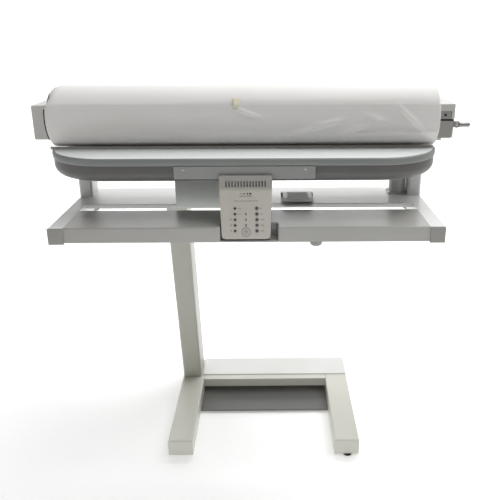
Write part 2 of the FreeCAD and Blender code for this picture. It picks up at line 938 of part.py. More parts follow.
# Plain bushes for the roller's journals.
bushes = []
for label, start in (("left_bush", "left_arm_inner - bush_length"), ("right_bush", "right_arm_inner")):
    sleeve = bar(label + "_sleeve", "x", start, "roller_across", "roller_axis", "bush_radius", "bush_length")
    hole = bar(
        label + "_hole", "x", start, "roller_across", "roller_axis",
        "journal_radius + running_gap", "bush_length",
    )
    bushes.append(cut(label, sleeve, hole))
keep(group("roller_bushes", bushes))

# Roller tube.
keep(turned(
    "roller_tube", "x",
    [
        ("cloth_thick", "tube_radius - tube_wall"),
        ("cloth_thick", "tube_radius"),
        ("roller_length - cloth_thick", "tube_radius"),
        ("roller_length - cloth_thick", "tube_radius - tube_wall"),
    ],
    "roller_left", "roller_across", "roller_axis",
))

# End discs, each turned in one piece with its journal.
end_discs = (
    ("left_end_disc", "left_journal", "roller_left", 1),
    ("right_end_disc", "arm_gap + bush_length", "roller_right", -1),
)
for label, journal, end, facing in end_discs:
    keep(turned(
        label, "x",
        [
            (f"-({journal})", "0"),
            (f"-({journal})", "journal_radius"),
            ("cloth_thick", "journal_radius"),
            ("cloth_thick", "tube_radius - tube_wall"),
            ("cloth_thick + end_disc_thick", "tube_radius - tube_wall"),
            ("cloth_thick + end_disc_thick", "0"),
        ],
        end, "roller_across", "roller_axis", facing,
    ))

# Felt padding with rounded ends.
padding = turned(
    "roller_padding", "x",
    [
        ("cloth_thick", "tube_radius"),
        ("cloth_thick", "tube_radius + padding_thick"),
        ("roller_length - cloth_thick", "tube_radius + padding_thick"),
        ("roller_length - cloth_thick", "tube_radius"),
    ],
    "roller_left", "roller_across", "roller_axis",
)
keep(soften(padding, "padding_round", rim("tube_radius + padding_thick")))

# Cotton cover, drawn in over the ends of the padding.
cover = turned(
    "roller_cover", "x",
    [
        ("0", "tube_radius"),
        ("0", "roller_radius"),
        ("roller_length", "roller_radius"),
        ("roller_length", "tube_radius"),
        ("roller_length - cloth_thick", "tube_radius"),
        ("roller_length - cloth_thick", "tube_radius + padding_thick"),
        ("cloth_thick", "tube_radius + padding_thick"),
        ("cloth_thick", "tube_radius"),
    ],
    "roller_left", "roller_across", "roller_axis",
)
soften(cover, "padding_round", rim("tube_radius + padding_thick"))
keep(soften(cover, "padding_round + cloth_thick", rim("roller_radius")))


# Belt pulleys: flanged wheels, the small one in one piece with the motor's shaft.
def pulley_loop(bore, radius):
    """Half section of a flanged pulley."""
    rim = f"{radius} + pulley_flange"
    return [
        ("0", bore),
        ("0", rim),
        ("pulley_flange_thick", rim),
        ("pulley_flange_thick", radius),
        ("pulley_width - pulley_flange_thick", radius),
        ("pulley_width - pulley_flange_thick", rim),
        ("pulley_width", rim),
        ("pulley_width", bore),
    ]


keep(turned(
    "roller_pulley", "x", pulley_loop("journal_radius", "pulley_big"),
    "pulley_near", "roller_across", "roller_axis",
))
shaft_end = "left_arm_inner - pulley_near + motor_bore_depth"
keep(turned(
    "motor_pulley", "x",
    pulley_loop("0", "pulley_small")[:-1] + [
        ("pulley_width", "shaft_radius"), (shaft_end, "shaft_radius"), (shaft_end, "0"),
    ],
    "pulley_near", "motor_across", "roller_axis",
))

# Drive belt: a flat loop round both pulleys.
belt = doc.addObject("PartDesign::Body", "drive_belt")
belt_sketch = new_sketch(belt, "x", "pulley_near + (pulley_width - belt_width) / 2")
for extra in ("belt_gap", "belt_gap + belt_thick"):
    near_centre = Vector(number("roller_across"), number("roller_axis"), 0)
    far_centre = Vector(number("motor_across"), number("roller_axis"), 0)
    up = Vector(0, 1, 0)
    big = number(f"pulley_big + {extra}")
    small = number(f"pulley_small + {extra}")
    back_arc = Part.Arc(near_centre + up * big, near_centre - Vector(big, 0, 0), near_centre - up * big)
    front_arc = Part.Arc(far_centre - up * small, far_centre + Vector(small, 0, 0), far_centre + up * small)
    big_arc = belt_sketch.addGeometry(back_arc)
    lower_run = belt_sketch.addGeometry(Part.LineSegment(near_centre - up * big, far_centre - up * small))
    small_arc = belt_sketch.addGeometry(front_arc)
    upper_run = belt_sketch.addGeometry(Part.LineSegment(far_centre + up * small, near_centre + up * big))
    wheels = ((big_arc, "roller_across", "pulley_big"), (small_arc, "motor_across", "pulley_small"))
    for arc, centre, radius in wheels:
        tie(belt_sketch, "DistanceX", arc, 3, centre)
        tie(belt_sketch, "DistanceY", arc, 3, "roller_axis")
        index = belt_sketch.addConstraint(Sketcher.Constraint("Radius", arc, number(f"{radius} + {extra}")))
        belt_sketch.setExpression(f"Constraints[{index}]", expression(f"{radius} + {extra}"))
    ends = (
        (big_arc, 2, lower_run, 1),
        (small_arc, 1, lower_run, 2),
        (small_arc, 2, upper_run, 1),
        (big_arc, 1, upper_run, 2),
    )
    for arc, arc_end, run, run_end in ends:
        belt_sketch.addConstraint(Sketcher.Constraint("Tangent", arc, arc_end, run, run_end))
belt_pad = belt.newObject("PartDesign::Pad", "drive_belt_pad")
belt_pad.Profile = belt_sketch
bind(belt_pad, Length="belt_width")
keep(belt)

# Gear motor, flanged to the inside of the left end housing.
motor_place = ("left_arm_inner", "motor_across", "roller_axis")
motor_can = bar("motor_can", "x", *motor_place, "motor_radius", "motor_length")
motor_hole = bar("motor_hole", "x", *motor_place, "shaft_radius + running_gap", "motor_bore_depth")
keep(cut("drive_motor", motor_can, motor_hole))

# Heated shoe: the lower part of a ring round the roller, lowered by its travel.
shoe_ring = cut(
    "shoe_ring",
    bar("shoe_outside", "x", "shoe_left", "roller_across", "shoe_axis", "shoe_outer", "shoe_length"),
    bar("shoe_inside", "x", "shoe_left", "roller_across", "shoe_axis", "shoe_inner", "shoe_length"),
)
shoe_mouth = prism(
    "shoe_mouth", "x", "shoe_left", "shoe_length",
    [
        ("roller_across", "shoe_axis"),
        ("roller_across - 2 * shoe_outer", "shoe_axis - 2 * shoe_outer / tan(shoe_front_wrap)"),
        ("roller_across - 2 * shoe_outer", "shoe_axis + 2 * shoe_outer"),
        ("roller_across + 2 * shoe_outer", "shoe_axis + 2 * shoe_outer"),
        ("roller_across + 2 * shoe_outer", "shoe_axis - 2 * shoe_outer / tan(shoe_rear_wrap)"),
    ],
)
keep(cut("heated_shoe", shoe_ring, shoe_mouth))

# Tubular heater: two straight runs under the shoe, joined by a bend.
heater_length = "shoe_length - 2 * heater_end_gap - heater_half_pitch"
heater_runs = [
    bar(
        "heater_run", "x", "shoe_left + heater_end_gap", f"roller_across {side} heater_half_pitch",
        "heater_level", "heater_radius", heater_length,
    )
    for side in "+-"
]
heater_bend = doc.addObject("Part::Torus", "heater_bend")
bind(heater_bend, Radius1="heater_half_pitch", Radius2="heater_radius")
heater_bend.Angle3 = 180
heater_bend.Placement = Placement(Vector(), Rotation(Vector(0, 0, 1), -90))
place(heater_bend, f"shoe_left + heater_end_gap + {heater_length}", "roller_across", "heater_level")
keep(fuse("shoe_heater", heater_runs + [heater_bend]))

keep(bar(
    "shoe_thermostat", "z", "roller_middle", "roller_across",
    "shoe_bottom - thermostat_gap - thermostat_height", "thermostat_radius", "thermostat_height",
))

# Carrier: a channel whose flanges are cut to the shoe, with guide holes and an arm to the lift rod.
carrier_left = "shoe_left + carrier_end_gap"
carrier_length = "shoe_length - 2 * carrier_end_gap"
carrier_width = "2 * carrier_half_width"
channel = prism(
    "carrier_channel", "x", carrier_left, carrier_length,
    box_loop("roller_across - carrier_half_width", carrier_width, "carrier_bottom", "carrier_flange"),
)
pocket(
    channel, "x", carrier_left, carrier_length,
    box_loop(
        "roller_across - carrier_half_width + carrier_wall", f"{carrier_width} - 2 * carrier_wall",
        "carrier_bottom + carrier_floor", "carrier_flange - carrier_floor",
    ),
)
guide_places = ("shoe_left + guide_end_gap", "shoe_left + shoe_length - guide_end_gap")
pocket(
    channel, "z", "carrier_bottom", "carrier_floor",
    *[("circle", across, "roller_across", "guide_radius + running_gap") for across in guide_places],
)
add(
    channel, "z", "lift_arm_bottom", "lift_arm_thick",
    box_loop(
        "lift_across - lift_arm_width / 2", "lift_arm_width",
        "carrier_rear - carrier_wall", "lift_back + lift_arm_lap - carrier_rear + carrier_wall",
    ),
)
shoe_seat = bar("shoe_seat", "x", "shoe_left", "roller_across", "shoe_axis", "shoe_outer", "shoe_length")
keep(cut("shoe_carrier", channel, shoe_seat))

guides = [
    bar(
        "guide", "z", across, "roller_across", "housing_floor", "guide_radius",
        "shoe_bottom - guide_top_gap - housing_floor",
    )
    for across in guide_places
]
keep(group("guide_rods", guides))

# Lift actuator: a can on the shelf, with a rod that pushes the carrier's arm.
lift_flange = block(
    "lift_flange", "lift_across - lift_radius - lift_flange_lap", "lift_back - lift_radius", "tray_top",
    "2 * lift_radius + lift_flange_lap", "2 * lift_radius", "lift_flange_thick",
)
lift_can = bar("lift_can", "z", "lift_across", "lift_back", "tray_top", "lift_radius", "lift_height")
lift_hole = bar(
    "lift_hole", "z", "lift_across", "lift_back", "lift_top - lift_rod_seat",
    "lift_rod_radius + running_gap", "lift_rod_seat",
)
keep(cut("lift_actuator", fuse("lift_body", [lift_flange, lift_can]), lift_hole))
keep(bar(
    "lift_rod", "z", "lift_across", "lift_back", "lift_top - lift_rod_seat",
    "lift_rod_radius", "lift_arm_bottom - lift_top + lift_rod_seat",
))

# Shoe housing: a dark tub with wide front corners, a rolled lower edge and a low rear wall.
def lower_edge(level, rear):
    """Choose the edges of a tub's floor, apart from the one at its rear."""
    floor = lying_at("z", level)
    back = along("x", y=rear)
    return lambda edge: floor(edge) and not back(edge)


tub = prism(
    "shoe_housing_blank", "z", "housing_bottom", "housing_top - housing_bottom",
    box_loop("housing_left", "housing_width", "housing_front", "housing_rear - housing_front"),
)
soften(tub, "housing_corner", along("z", y="housing_front"))
soften(tub, "housing_roll", lower_edge("housing_bottom", "housing_rear"))
tub_core = prism(
    "shoe_housing_core", "z", "housing_floor", "housing_top - housing_floor",
    box_loop(
        "housing_left + housing_wall", "housing_width - 2 * housing_wall",
        "housing_front + housing_wall", "housing_rear - housing_front - 2 * housing_wall",
    ),
)
soften(tub_core, "housing_corner - housing_wall", along("z", y="housing_front + housing_wall"))
soften(tub_core, "housing_roll - housing_wall", lower_edge("housing_floor", "housing_rear - housing_wall"))
tub_gate = block(
    "shoe_housing_gate", "housing_left", "housing_rear - housing_wall", "housing_floor + housing_rear_wall",
    "housing_width", "housing_wall", "housing_top - housing_floor - housing_rear_wall",
)
keep(cut("shoe_housing", tub, fuse("shoe_housing_hollow", [tub_core, tub_gate])))

# Feed board and the trim round its front and sides: wide arcs at the ends, and two ears past the shoe's ends.
board_blank = prism(
    "feed_board_blank", "z", "housing_top", "board_thick",
    box_loop(
        "board_left + board_edge_thick", "board_width - 2 * board_edge_thick",
        "board_front + board_edge_thick", "board_corner",
    ),
)
soften(board_blank, "board_corner - board_edge_thick", along("z", y="board_front + board_edge_thick"))
edge_blank = prism(
    "board_edge_blank", "z", "housing_top", "board_thick",
    box_loop("board_left", "board_width", "board_front", "board_corner + board_edge_thick"),
)
soften(edge_blank, "board_corner", along("z", y="board_front"))
board_trim = fuse("board_trim", [
    block(
        "board_saw", "shoe_left - board_ear_gap", "board_rear", "housing_top",
        "shoe_length + 2 * board_ear_gap", "board_corner", "board_thick",
    ),
    block(
        "board_ear_saw", "board_left", "board_ear_rear", "housing_top",
        "board_width", "board_corner", "board_thick",
    ),
])
keep(cut("feed_board", board_blank, board_trim))
keep(cut("board_edge", edge_blank, fuse("board_edge_hollow", [board_blank, board_trim])))

# Centre cover: a plate that hides the middle of the tub's front.
centre_cover = prism(
    "centre_cover", "z", "bridge_bottom", "housing_top - bridge_bottom",
    box_loop("bridge_left", "bridge_width", "bridge_front", "bridge_wall"),
)
keep(soften(centre_cover, "bridge_round", along("x", y="bridge_front", z="bridge_bottom")))

# Electronics pedestal between the shelf and the tub.
pedestal = prism(
    "pedestal", "z", "tray_top", "housing_bottom - tray_top",
    box_loop("pedestal_left", "pedestal_width", "shelf_front", "pedestal_depth"),
)
pocket(
    pedestal, "z", "tray_top", "housing_bottom - tray_top - pedestal_wall",
    box_loop(
        "pedestal_left + pedestal_wall", "pedestal_width - 2 * pedestal_wall",
        "shelf_front + pedestal_wall", "pedestal_depth - 2 * pedestal_wall",
    ),
)
keep(soften(pedestal, "pedestal_wall", along("z", y="shelf_front")))


# Control pod: hangs from the centre cover down into the notch. Its open front leans back towards the top.
def pod_loop(inset="0"):
    """Side outline of the pod, drawn in by an inset."""
    lean = "panel_setback / pod_height"
    return [
        (f"pod_face_low + {inset} * {lean}", f"pod_bottom + {inset}"),
        (f"pod_face_low + (pod_height - {inset}) * {lean}", f"pod_top - {inset}"),
        (f"bridge_front - {inset}", f"pod_top - {inset}"),
        (f"bridge_front - {inset}", f"pod_shoulder - {inset}"),
        (f"pod_rear - {inset}", f"pod_shoulder - {inset}"),
        (f"pod_rear - {inset}", f"pod_underside + {inset}"),
        (f"pod_waist - {inset}", f"pod_underside + {inset}"),
        (f"pod_waist - {inset}", f"pod_bottom + {inset}"),
    ]


pod = prism(
    "control_pod", "x", "pod_left + panel_taper", "pod_width - 2 * panel_taper", pod_loop(),
)
pocket(
    pod, "x", "pod_left + panel_taper + pod_wall", "pod_width - 2 * panel_taper - 2 * pod_wall",
    pod_loop("pod_wall"),
)
keep(pod)


def lean_back(piece, x="0", y="0", z="0"):
    """Lean a piece of the panel, drawn upright at x, y, z, back about the panel's lower front edge."""
    piece.Placement = Placement(Vector(), Rotation(Vector(-1, 0, 0), 1))
    piece.setExpression("Placement.Rotation.Angle", expression("panel_lean"))
    depth = f"({y} - panel_front)"
    rise = f"({z} - pod_bottom)"
    place(
        piece, x,
        f"panel_front + {depth} * cos(panel_lean) + {rise} * sin(panel_lean)",
        f"pod_bottom - {depth} * sin(panel_lean) + {rise} * cos(panel_lean)",
    )
    return piece


# Control panel: a tapered plate with key holes, lamp windows, vents and standoffs for the circuit board.
left_keys = "pod_middle - key_half_pitch"
right_keys = "pod_middle + key_half_pitch"
row_levels = [f"key_level - {row} * key_row" for row in range(KEY_ROWS)]
panel = prism(
    "control_panel", "y", "panel_front", "panel_thick",
    [
        ("pod_left + panel_taper", "pod_bottom"),
        ("pod_left + pod_width - panel_taper", "pod_bottom"),
        ("pod_left + pod_width", "panel_top"),
        ("pod_left", "panel_top"),
    ],
)
soften(panel, "panel_low_round", along("y", z="pod_bottom"))
soften(panel, "panel_top_round", along("y", z="panel_top"))
pocket(
    panel, "y", "panel_front", "panel_thick",
    *[("circle", right_keys, level, "key_radius + key_gap") for level in row_levels],
    *[("circle", left_keys, level, "lamp_radius + lamp_gap") for level in row_levels],
    *[
        box_loop(
            "pod_middle - lamp_bar_width / 2 - lamp_gap", "lamp_bar_width + 2 * lamp_gap",
            f"{level} - lamp_bar_height / 2 - lamp_gap", "lamp_bar_height + 2 * lamp_gap",
        )
        for level in row_levels[1:-1]
    ],
    ("circle", "pod_middle", "power_level", "power_radius + key_gap"),
    *[
        box_loop(
            f"pod_middle + ({index} - {(VENT_COUNT - 1) / 2}) * vent_pitch - vent_width / 2", "vent_width",
            "panel_top - vent_drop - vent_height", "vent_height",
        )
        for index in range(VENT_COUNT)
    ],
)
circuit_left = "pod_left + panel_taper + pod_wall + circuit_inset"
circuit_width = "pod_width - 2 * (panel_taper + pod_wall + circuit_inset)"
circuit_bottom = "pod_bottom + circuit_foot"
standoff_sides = (f"{circuit_left} + standoff_inset", f"{circuit_left} + {circuit_width} - standoff_inset")
standoff_levels = (
    f"{circuit_bottom} + standoff_foot",
    f"{circuit_bottom} + circuit_height - standoff_inset",
)
add(
    panel, "y", "pod_front", "board_standoff",
    *[
        ("circle", across, level, "standoff_radius")
        for across in standoff_sides
        for level in standoff_levels
    ],
)
keep(lean_back(panel))

# Circuit board with a small switch behind each key.
plate = block(
    "circuit_plate", circuit_left, "circuit_front", circuit_bottom,
    circuit_width, "circuit_thick", "circuit_height",
)
key_places = [(right_keys, level) for level in row_levels] + [("pod_middle", "power_level")]
switch_start = "pod_front + key_flange_thick + switch_gap"
switches = [
    bar("switch", "y", across, switch_start, level, "switch_radius", f"circuit_front - ({switch_start})")
    for across, level in key_places
]
keep(lean_back(fuse("circuit_board", [plate] + switches)))


# Keys: round caps that a flange holds behind the panel.
def key(label, across, level, radius):
    reach = "panel_thick + running_gap"
    cap = turned(
        label, "y",
        [
            ("-key_proud", "0"),
            ("-key_proud", radius),
            (reach, radius),
            (reach, f"{radius} + key_flange"),
            (f"{reach} + key_flange_thick", f"{radius} + key_flange"),
            (f"{reach} + key_flange_thick", "0"),
        ],
        across, "panel_front", level,
    )
    return keep(lean_back(cap, across, "panel_front", level))


for row, level in enumerate(row_levels, start=1):
    key(f"programme_key_{row}", right_keys, level, "key_radius")
key("power_key", "pod_middle", "power_level", "power_radius")

# Indicator lamps: round ones beside the keys, bars in the middle.
lamps = [
    bar("lamp", "y", left_keys, "panel_front", level, "lamp_radius", "circuit_front - panel_front")
    for level in row_levels
]
lamps += [
    block(
        "lamp_bar", "pod_middle - lamp_bar_width / 2", "panel_front",
        f"{level} - lamp_bar_height / 2",
        "lamp_bar_width", "circuit_front - panel_front", "lamp_bar_height",
    )
    for level in row_levels[1:-1]
]
keep(lean_back(group("indicator_lamps", lamps)))

# Release lever: a rod on a hub that turns on the pin of the right end housing.
hub_front = "lever_face - lever_face_gap - lever_hub_length"
hub_place = ("lever_pivot_across", hub_front, "lever_pivot_level")
hub = bar("lever_hub", "y", *hub_place, "lever_hub_radius", "lever_hub_length")
rod = bar(
    "lever_rod", "x", "lever_pivot_across", f"{hub_front} + lever_hub_length / 2", "lever_pivot_level",
    "lever_rod_radius", "head_right + lever_reach - lever_pivot_across",
)
hub_hole = bar("lever_hole", "y", *hub_place, "lever_pin_radius + running_gap", "lever_hub_length")
keep(cut("release_lever", fuse("lever_body", [hub, rod]), hub_hole))

# Foot switch: a base with two ears, and a treadle on a pin between them.
pedal_base = block(
    "pedal_plate", "pedal_left", "pedal_front", "tray_top", "pedal_width", "pedal_depth", "pedal_base_height",
)
pedal_ears = [
    block(
        "pedal_ear", left, "pedal_rear - pedal_ear_depth", "tray_top",
        "pedal_ear_width", "pedal_ear_depth", "pedal_ear_height",
    )
    for left in ("pedal_left", "pedal_right - pedal_ear_width")
]
pivot_place = ("pedal_left", "pedal_pivot_back", "pedal_pivot_level")
pedal_hole = bar("pedal_hole", "x", *pivot_place, "pedal_pin_radius + running_gap", "pedal_width")
keep(cut("pedal_base", fuse("pedal_base_body", [pedal_base] + pedal_ears), pedal_hole))

treadle_left = "pedal_left + pedal_ear_width + pedal_side_gap"
treadle_front = "pedal_front + pedal_treadle_inset"
treadle_toe = "pedal_base_top + pedal_front_gap"
treadle = prism(
    "treadle_wedge", "x", treadle_left, "pedal_width - 2 * (pedal_ear_width + pedal_side_gap)",
    [
        (treadle_front, treadle_toe),
        ("pedal_pivot_back", "pedal_pivot_level - pedal_pin_radius"),
        ("pedal_pivot_back + pedal_pin_radius", "pedal_pivot_level"),
        ("pedal_pivot_back + pedal_pin_radius", "pedal_pivot_level + pedal_treadle_thick"),
        (treadle_front, f"{treadle_toe} + pedal_treadle_thick"),
    ],
)
treadle_pin = bar("treadle_pin", "x", *pivot_place, "pedal_pin_radius", "pedal_width")
keep(fuse("pedal_treadle", [treadle, treadle_pin]))

# Mains inlet on the back panel.
inlet = prism(
    "mains_inlet", "y", "tray_rear", "inlet_depth",
    box_loop("inlet_across - inlet_width / 2", "inlet_width", "beam_top - inlet_drop", "inlet_height"),
)
pocket(
    inlet, "y", "tray_rear + inlet_rim", "inlet_depth - inlet_rim",
    box_loop(
        "inlet_across - inlet_width / 2 + inlet_rim", "inlet_width - 2 * inlet_rim",
        "beam_top - inlet_drop + inlet_rim", "inlet_height - 2 * inlet_rim",
    ),
)
keep(inlet)

# Screw heads on the back panel, the centre cover and the upper cap.
screws = []
for across in ("head_left + screw_inset", "roller_middle", "head_right - screw_inset"):
    for level in ("beam_bottom + screw_inset", "beam_top - screw_inset"):
        screws.append(bar("screw", "y", across, "tray_rear", level, "screw_radius", "screw_head"))
for across in ("bridge_left + screw_inset", "bridge_left + bridge_width - screw_inset"):
    level = "housing_top - 2 * screw_radius"
    screws.append(bar("screw", "y", across, "bridge_front - screw_head", level, "screw_radius", "screw_head"))
screws.append(bar(
    "screw", "y", "(right_arm_inner + head_right) / 2", "arm_front + cap_recess_depth - screw_head",
    "cap_split + cap_split_gap + cap_recess_height / 2", "screw_radius", "screw_head",
))
keep(group("case_screws", screws))

# Check every object, then write one file for each sub-part.
doc.recompute()
failed = [item.Label for item in doc.Objects if {"Invalid", "Error"} & set(item.State)]
failed += [item.Label for item in nodes if item.Shape.isNull() or not item.Shape.isValid()]
if failed:
    raise RuntimeError("failed objects: " + ", ".join(failed))
os.makedirs("parts", exist_ok=True)
for item in nodes:
    item.Shape.exportStep(f"parts/{item.Label}.step")
print(len(nodes), "sub-parts written")
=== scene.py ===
import json
from math import atan2, copysign, cos, exp, pi, radians, sin

import bmesh
import bpy
from mathutils import Matrix, Vector, noise


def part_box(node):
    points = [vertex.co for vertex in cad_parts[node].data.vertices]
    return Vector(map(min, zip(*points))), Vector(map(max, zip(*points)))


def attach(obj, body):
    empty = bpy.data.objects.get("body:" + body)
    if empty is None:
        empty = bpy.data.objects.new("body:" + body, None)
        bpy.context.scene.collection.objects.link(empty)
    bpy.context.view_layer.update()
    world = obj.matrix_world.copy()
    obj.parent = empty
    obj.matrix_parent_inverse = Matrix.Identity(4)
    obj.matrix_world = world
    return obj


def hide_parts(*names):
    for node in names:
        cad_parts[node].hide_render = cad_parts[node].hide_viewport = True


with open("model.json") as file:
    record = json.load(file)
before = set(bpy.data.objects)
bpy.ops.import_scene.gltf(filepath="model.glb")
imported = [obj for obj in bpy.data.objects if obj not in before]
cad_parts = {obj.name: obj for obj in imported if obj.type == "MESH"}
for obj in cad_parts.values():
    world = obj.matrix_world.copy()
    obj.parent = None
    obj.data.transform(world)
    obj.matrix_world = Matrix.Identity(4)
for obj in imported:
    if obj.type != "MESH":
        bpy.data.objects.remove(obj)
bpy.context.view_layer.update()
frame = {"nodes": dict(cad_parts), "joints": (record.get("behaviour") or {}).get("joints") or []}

# Camera: on the user's side, a little higher than the roller, looking down over it as the photograph does.
# The shift puts the machine where it is in the photograph.
def new_object(name, data):
    """An object in the scene."""
    made = bpy.data.objects.new(name, data)
    bpy.context.scene.collection.objects.link(made)
    return made


camera_data = bpy.data.cameras.new("camera")
camera_data.sensor_width = 36.0
camera_data.lens = 44.42
camera_data.shift_x = -0.0553
camera_data.shift_y = -0.0405
camera = new_object("camera", camera_data)
camera.location = (0.0461, -1.4242, 1.0306)
look_down = radians(19.20)
turn_right = radians(0.57)
tilt = radians(0.13)
camera.rotation_euler = (pi / 2 - look_down, tilt, -turn_right)
bpy.context.scene.camera = camera


# Studio floor: pale paper that lies flat under the machine and sweeps up behind it. It isn't part of the
# object. It glows a little, as on a light table. A wide soft light hangs at the right, and weaker ones light
# the left, the base and the wall.
class Wire:
    """A shader value. Arithmetic on it adds Math nodes, and node() adds any other node."""

    def __init__(self, tree, socket):
        self.tree = tree
        self.socket = socket

    def node(self, kind, settings, inputs, output=0):
        made = self.tree.nodes.new(kind)
        for name, value in settings.items():
            setattr(made, name, value)
        set_inputs(made, inputs)
        return Wire(self.tree, made.outputs[output])

    def math(self, operation, first, second=0.0):
        return self.node("ShaderNodeMath", {"operation": operation}, {0: first, 1: second})

    def __add__(self, other):
        return self.math("ADD", self, other)

    def __sub__(self, other):
        return self.math("SUBTRACT", self, other)

    def __rsub__(self, other):
        return self.math("SUBTRACT", other, self)

    def __mul__(self, other):
        return self.math("MULTIPLY", self, other)

    __radd__ = __add__
    __rmul__ = __mul__


def set_inputs(node, values):
    """Set a node's inputs. A value is a constant or a wire."""
    for name, value in values.items():
        if isinstance(value, Wire):
            value.tree.links.new(value.socket, node.inputs[name])
        else:
            node.inputs[name].default_value = value


def new_finish(name):
    """A material and the place on the object."""
    material = bpy.data.materials.new(name)
    material.use_nodes = True
    place = material.node_tree.nodes.new("ShaderNodeTexCoord")
    return material, Wire(material.node_tree, place.outputs["Object"])


def dress(material, values, *nodes):
    """Set the values of a material's shader and give the material to CAD nodes."""
    set_inputs(material.node_tree.nodes["Principled BSDF"], values)
    for node in nodes:
        for slot in frame["nodes"][node].material_slots:
            slot.material = material
    return material


def mottle(place, scale, detail=2.0):
    """Soft random patches."""
    return place.node("ShaderNodeTexNoise", {}, {"Vector": place, "Scale": scale, "Detail": detail}, "Fac")


def stretched(place, along, across, height):
    """The place, with its axes scaled so that a pattern on it runs in streaks."""
    return place.node("ShaderNodeMapping", {}, {"Vector": place, "Scale": (along, across, height)})


def rise(value, low, high):
    """0 below low, 1 above high, and a smooth step between."""
    limits = {"Value": value, "From Min": low, "From Max": high}
    return value.node("ShaderNodeMapRange", {"interpolation_type": "SMOOTHSTEP"}, limits)


def tint(share, first, second):
    """One colour passing into another. A colour is a wire, or red, green and blue."""
    ends = [end if isinstance(end, Wire) else (*end, 1.0) for end in (first, second)]
    return share.node("ShaderNodeMix", {"data_type": "RGBA"}, {0: share, 6: ends[0], 7: ends[1]}, 2)


def relief(height, depth, strength=1.0):
    """A bumpy surface whose bumps are that deep."""
    return height.node("ShaderNodeBump", {}, {"Height": height, "Distance": depth, "Strength": strength})


def only(kind, items):
    return [item for item in items if isinstance(item, kind)]


floor_front = -7.0
floor_rear = 2.6
sweep_radius = 2.0
wall_top = 6.0
floor_half_width = 8.0
floor_mesh = bmesh.new()
front_point = floor_mesh.verts.new((-floor_half_width, floor_front, 0.0))
rear_point = floor_mesh.verts.new((-floor_half_width, floor_rear, 0.0))
floor_mesh.edges.new((front_point, rear_point))
sweep = bmesh.ops.spin(
    floor_mesh, geom=[rear_point], cent=(-floor_half_width, floor_rear, sweep_radius), axis=(1.0, 0.0, 0.0),
    angle=pi / 2, steps=24,
)
wall_foot = sweep["geom_last"][0]
wall_point = floor_mesh.verts.new((-floor_half_width, floor_rear + sweep_radius, wall_top))
floor_mesh.edges.new((wall_foot, wall_point))
paper = bmesh.ops.extrude_edge_only(floor_mesh, edges=floor_mesh.edges[:])
far_side = only(bmesh.types.BMVert, paper["geom"])
bmesh.ops.translate(floor_mesh, verts=far_side, vec=(2 * floor_half_width, 0.0, 0.0))
floor_data = bpy.data.meshes.new("studio_floor")
floor_mesh.to_mesh(floor_data)
floor_mesh.free()
floor_data.shade_smooth()
white_light = (1.0, 1.0, 1.0, 1.0)
paper_white, paper_place = new_finish("paper_white")
dress(paper_white, {
    "Roughness": 0.9, "Emission Color": white_light, "Emission Strength": 0.28,
    "Base Color": tint(mottle(paper_place, 0.7), (0.95, 0.95, 0.95), (0.97, 0.97, 0.97)),
})
floor_data.materials.append(paper_white)
studio_floor = new_object("studio_floor", floor_data)


def hang_light(name, place, target, width, depth, watts):
    data = bpy.data.lights.new(name, "AREA")
    data.shape = "RECTANGLE"
    data.size = width
    data.size_y = depth
    data.energy = watts
    light = new_object(name, data)
    light.location = place
    light.rotation_euler = (Vector(target) - Vector(place)).to_track_quat("-Z", "Y").to_euler()


hang_light("overhead_light", (1.0, 0.1, 2.9), (0.1, 0.0, 0.6), 2.5, 2.5, 64.0)
hang_light("base_light", (0.1, -0.85, 0.22), (0.05, 0.0, 0.08), 1.2, 0.25, 0.9)
hang_light("side_light", (-2.6, -1.6, 1.2), (0.0, 0.0, 0.5), 1.6, 1.6, 10.0)
hang_light("wall_light", (0.0, 2.2, 4.0), (0.0, 4.6, 1.4), 5.0, 1.0, 135.0)
studio = bpy.data.worlds.new("studio")
studio.use_nodes = True
sky = studio.node_tree.nodes["Background"]
sky.inputs["Color"].default_value = white_light
sky.inputs["Strength"].default_value = 0.11
bpy.context.scene.world = studio
bpy.context.scene.view_settings.view_transform = "Standard"


# Foot pads: four turned black rubber pads, each with a groove round its side, pushed up into the feet. A
# wider pad on a levelling screw looks out from under the front end of the right foot.
rightward = Vector((1.0, 0.0, 0.0))
rearward = Vector((0.0, 1.0, 0.0))
upward = Vector((0.0, 0.0, 1.0))
merge_distance = 0.000001
sharp_angle = radians(34)


def turn(mesh, outline, centre, axis, steps):
    """Turn an outline of (along the axis, radius) points round an axis through a centre."""
    centre = Vector(centre)
    side = axis.orthogonal().normalized()
    points = [mesh.verts.new(centre + axis * along + side * radius) for along, radius in outline]
    edges = [mesh.edges.new(pair) for pair in zip(points, points[1:])]
    bmesh.ops.spin(
        mesh, geom=points + edges, cent=centre, axis=axis, angle=2 * pi, steps=steps, use_merge=True,
    )


def make_piece(name, mesh, material, nodes=(), body="machine"):
    """Close a mesh into a piece that rides on a body and stands for some CAD nodes."""
    bmesh.ops.remove_doubles(mesh, verts=mesh.verts, dist=merge_distance)
    bmesh.ops.recalc_face_normals(mesh, faces=mesh.faces)
    data = bpy.data.meshes.new(name)
    mesh.to_mesh(data)
    mesh.free()
    data.materials.append(material)
    data.shade_smooth()
    data.set_sharp_from_angle(angle=sharp_angle)
    piece = new_object(name, data)
    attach(piece, body)
    if nodes:
        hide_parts(*nodes)
    return piece


def rubber(name, colour, worn, *nodes):
    """Dusty rubber, on some CAD nodes."""
    material, place = new_finish(name)
    dust = rise(mottle(place, 55.0, 4.0), 0.45, 0.8)
    return dress(material, {
        "Specular IOR Level": 0.35,
        "Base Color": tint(dust, colour, worn),
        "Roughness": 0.62 + 0.2 * dust,
        "Normal": relief(mottle(place, 1400.0), 0.0002, 0.5),
    }, *nodes)


